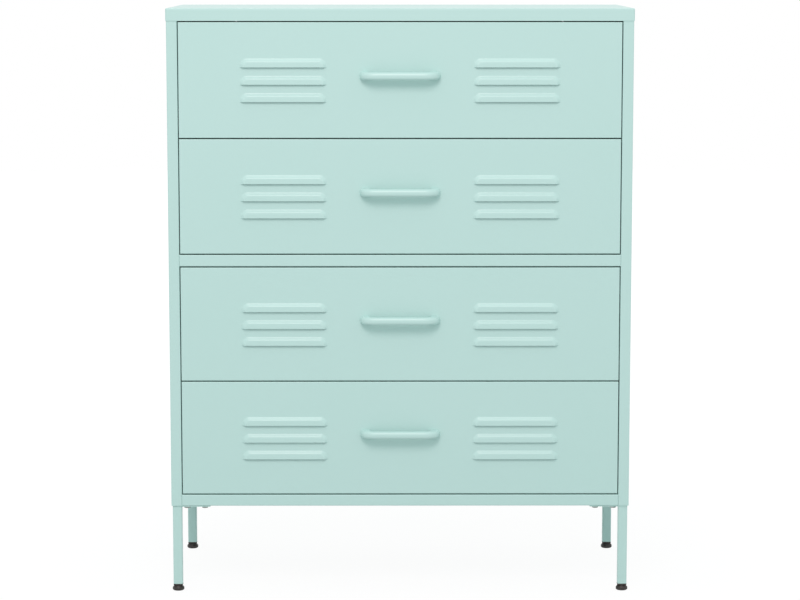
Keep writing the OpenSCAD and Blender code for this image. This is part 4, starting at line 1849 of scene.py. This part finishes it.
    def tray(self) -> Object:
        """Makes the tray: an open box with a doubled hem along its side and back rims.

        Returns:
            The tray.
        """
        low, high = self.box("tray")
        t, rings = self.tray_sheet, []
        for side, front in zip(self.tray_wall(2 * t), self.tray_wall(t + self.hem_gap)):
            x, y = (low.x + side.x, high.x - side.x), (low.y + front.x, high.y - side.x)
            plan = rounded(x, y, self.tray_corner - side.x, SMALL_ARC)
            rings.append([Along.Z.place(p, side.y) for p in plan])
        return Shape().loft(rings).body(f"tray_{self.number}")

    def bow(self, end: float, run: float, out: float) -> Flat:
        """Draws one side of the grip from above, from foot to foot.

        Args:
            end: Half its length.
            run: The width of its curve at each end.
            out: How far the curve comes out of the foot.

        Returns:
            Its points, whose Y counts from the drawer's face.
        """
        left = flat((-end, 0))
        for turn in quarter(self.grip_steps):
            x, y = run - end - run * math.cos(turn), -self.grip_foot - out * math.sin(turn)
            left.append(Vector((x, y)))
        return left + [Vector((-p.x, p.y)) for p in reversed(left)]

    def grip(self) -> Object:
        """Makes the bow grip, well rounded in front.

        Returns:
            The grip.
        """
        low, high = self.box("handle")
        face, half, tall, bar = high.y, high.x, high.z - low.z, self.grip_bar
        reach, rings = face - low.y - self.grip_foot, []
        outer = self.bow(half, self.grip_run, reach)
        inner = self.bow(half - 2 * bar, self.grip_inner_run, reach - bar)
        for out, back in zip(outer, inner):
            thick = (out - back).length
            way = (out - back) / thick
            corners = flat((0, 0), (thick, 0), (thick, tall), (0, tall))
            section = fold(corners, self.grip_rounds, self.grip_arc, closed=True)
            x, y = back.x, face + back.y
            ring = [Vector((x + way.x * p.x, y + way.y * p.x, low.z + p.y)) for p in section]
            rings.append(ring)
        return Shape().loft(rings).body(f"grip_{self.number}")

    def screws(self) -> Object:
        """Makes the screws of the tray and of the grip.

        Returns:
            One object with all of them.
        """
        base, tray = self.box("front")[0].z, self.box("tray")[0].y + self.tray_sheet
        under, over = self.box("handle")
        x, y, z = over.x - self.grip_bar, over.y + self.sheet, (under.z + over.z) / 2
        heights = [base + height for height in self.tray_screw_heights]
        places = [(across, tray, up) for across in self.tray_screws for up in heights]
        places += [(side * x, y, z) for side in (-1, 1)]
        spots = [(place, (0, 1, 0)) for place in places]
        return self.fixings.scatter(f"screws_{self.number}", "long_screw", spots, BRIGHT_ZINC)

    def build(self) -> None:
        """Makes and dresses the drawer."""
        for make, node, finish in (
            (self.front, "front", POWDER_COAT),
            (self.tray, "tray", POWDER_COAT),
            (self.grip, "handle", POWDER_COAT),
            (self.screws, "screws", BRIGHT_ZINC),
        ):
            fit(make(), f"drawer_{self.number}", [f"drawer_{self.number}_{node}"], finish)


# The studio


@dataclass
class Studio:
    """A white seamless floor, soft light from above and in front, and the camera."""

    floor: float = 9.0
    floor_sides: int = 96
    shadow: float = 0.12  # how much of the floor's light comes from the lamps, near the feet
    shadow_reach: Span = (0.4, 1.8)  # from the middle: where that starts to fade, and its end
    glow: float = 1.06
    paper_white: float = 0.6
    fibres: float = 900.0  # per metre
    fibre_relief: float = 0.1
    fibre_strength: float = 0.3
    ambient: float = 0.84
    sky: str = "#F0FFFE"
    key_energy: float = 69.0
    key_size: float = 1.5
    key_place: tuple[float, float, float] = (-0.35, -3.1, 3.4)
    key_aim: tuple[float, float, float] = (0.0, 0.0, 0.55)
    key_tint: str = "#FFE9EA"
    camera: tuple[float, float, float] = (-0.0126, -4.6, 1.1)
    aim: tuple[float, float, float] = (-0.0002, -0.1635, 0.5142)
    lens: float = 116.6
    sensor: float = 36.0
    view_end: float = 60.0

    def seen(self, tree: Tree) -> Socket:
        """Adds what is 1 where a surface is seen by the camera, in gloss or through glass.

        Args:
            tree: The tree.

        Returns:
            The node and output that hold it.
        """
        path = add_node(tree, "ShaderNodeLightPath")
        found = (path, "Is Camera Ray")
        for ray in ("Is Glossy Ray", "Is Transmission Ray"):
            found = (add_node(tree, MATHS, {0: found, 1: (path, ray)}, operation="MAXIMUM"), 0)
        return found

    def paper(self) -> bpy.types.Material:
        """Makes seamless white paper, which keeps a soft shadow near the cabinet.

        Returns:
            The material.
        """
        made = bpy.data.materials.new("seamless_white_paper")
        made.use_nodes = True
        tree = made.node_tree
        tree.nodes.clear()
        add = partial(add_node, tree)
        where = add("ShaderNodeTexCoord")
        far = add("ShaderNodeVectorMath", {0: (where, "Object")}, operation="LENGTH")
        near, end = self.shadow_reach
        wires = {0: (far, "Value"), 1: near, 2: end, 3: 1 - self.shadow, 4: 1.0}
        share = add("ShaderNodeMapRange", wires, interpolation_type="SMOOTHSTEP")
        fibre = add("ShaderNodeTexNoise", {"Vector": (where, "Object"), "Scale": self.fibres})
        wires = {"Height": (fibre, 0), "Strength": self.fibre_strength}
        relief = add("ShaderNodeBump", wires | {"Distance": self.fibre_relief * MM})
        wires = {"Color": (*[self.paper_white] * 3, 1.0), "Normal": (relief, 0)}
        matt = add("ShaderNodeBsdfDiffuse", wires)
        glow = add("ShaderNodeEmission", {"Color": WHITE, "Strength": self.glow})
        amount = add(MATHS, {0: self.seen(tree), 1: (share, 0)}, operation="MULTIPLY")
        mix = add("ShaderNodeMixShader", {0: (amount, 0), 1: (matt, 0), 2: (glow, 0)})
        add("ShaderNodeOutputMaterial", {"Surface": (mix, 0)})
        return made

    def lay_floor(self) -> None:
        """Lays the floor."""
        rim = circle((0, 0), self.floor / MM, self.floor_sides)
        shape = Shape().add([Along.Z.place(p, 0.0) for p in rim], [range(self.floor_sides)])
        floor = shape.body("floor", outward=False)
        floor.data.materials.append(self.paper())

    def light_world(self) -> None:
        """Sets a white surround, which lights the object more softly than it looks."""
        world = bpy.data.worlds.new("white_surround")
        bpy.context.scene.world = world
        world.use_nodes = True
        tree = world.node_tree
        tree.nodes.clear()
        lit = {"Color": linear(self.sky), "Strength": self.ambient}
        soft = add_node(tree, "ShaderNodeBackground", lit)
        bright = add_node(tree, "ShaderNodeBackground", {"Color": WHITE, "Strength": 1.0})
        wires = {0: self.seen(tree), 1: (soft, 0), 2: (bright, 0)}
        mix = add_node(tree, "ShaderNodeMixShader", wires)
        add_node(tree, "ShaderNodeOutputWorld", {"Surface": (mix, 0)})

    def point(self, held: Object, place: Sequence[float], aim: Sequence[float]) -> None:
        """Puts a lamp or camera in its place and turns it to what it faces."""
        held.location = place
        held.rotation_euler = (Vector(aim) - Vector(place)).to_track_quat("-Z", "Y").to_euler()

    def hang_lamp(self) -> None:
        """Hangs a square soft box in front of the cabinet, high up and facing its middle."""
        lamp = bpy.data.lights.new("key_light", "AREA")
        lamp.energy, lamp.size = self.key_energy, self.key_size
        lamp.color = linear(self.key_tint)[:3]
        held = put("key_light", lamp)
        held.visible_camera = False
        self.point(held, self.key_place, self.key_aim)

    def set_camera(self) -> None:
        """Sets the camera where the photograph was taken from."""
        camera = bpy.data.cameras.new("camera")
        camera.lens, camera.sensor_width = self.lens, self.sensor
        camera.clip_end = self.view_end
        held = put("camera", camera)
        self.point(held, self.camera, self.aim)
        bpy.context.scene.camera = held

    def build(self) -> None:
        """Sets up the whole studio."""
        bpy.context.scene.view_settings.view_transform = "Standard"
        self.lay_floor()
        self.light_world()
        self.hang_lamp()
        self.set_camera()


def main() -> None:
    """Builds the cabinet round its CAD frame, one sub-assembly after the other."""
    logging.basicConfig(level=logging.INFO, format="%(name)s: %(message)s")
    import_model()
    Studio().build()
    Case().build()
    legs = Legs()
    legs.build()
    Feet().build()
    fixings = Fixings()
    fixings.build(legs)
    Runners().build(fixings)
    louvre = Louvre()
    pressed, bank = louvre.body(), louvre_tree()
    for number in DRAWERS:
        Drawer(number, fixings, bank, louvre, pressed).build()
    bpy.data.objects.remove(pressed)
    fixings.clear()


if __name__ == "__main__":
    main()
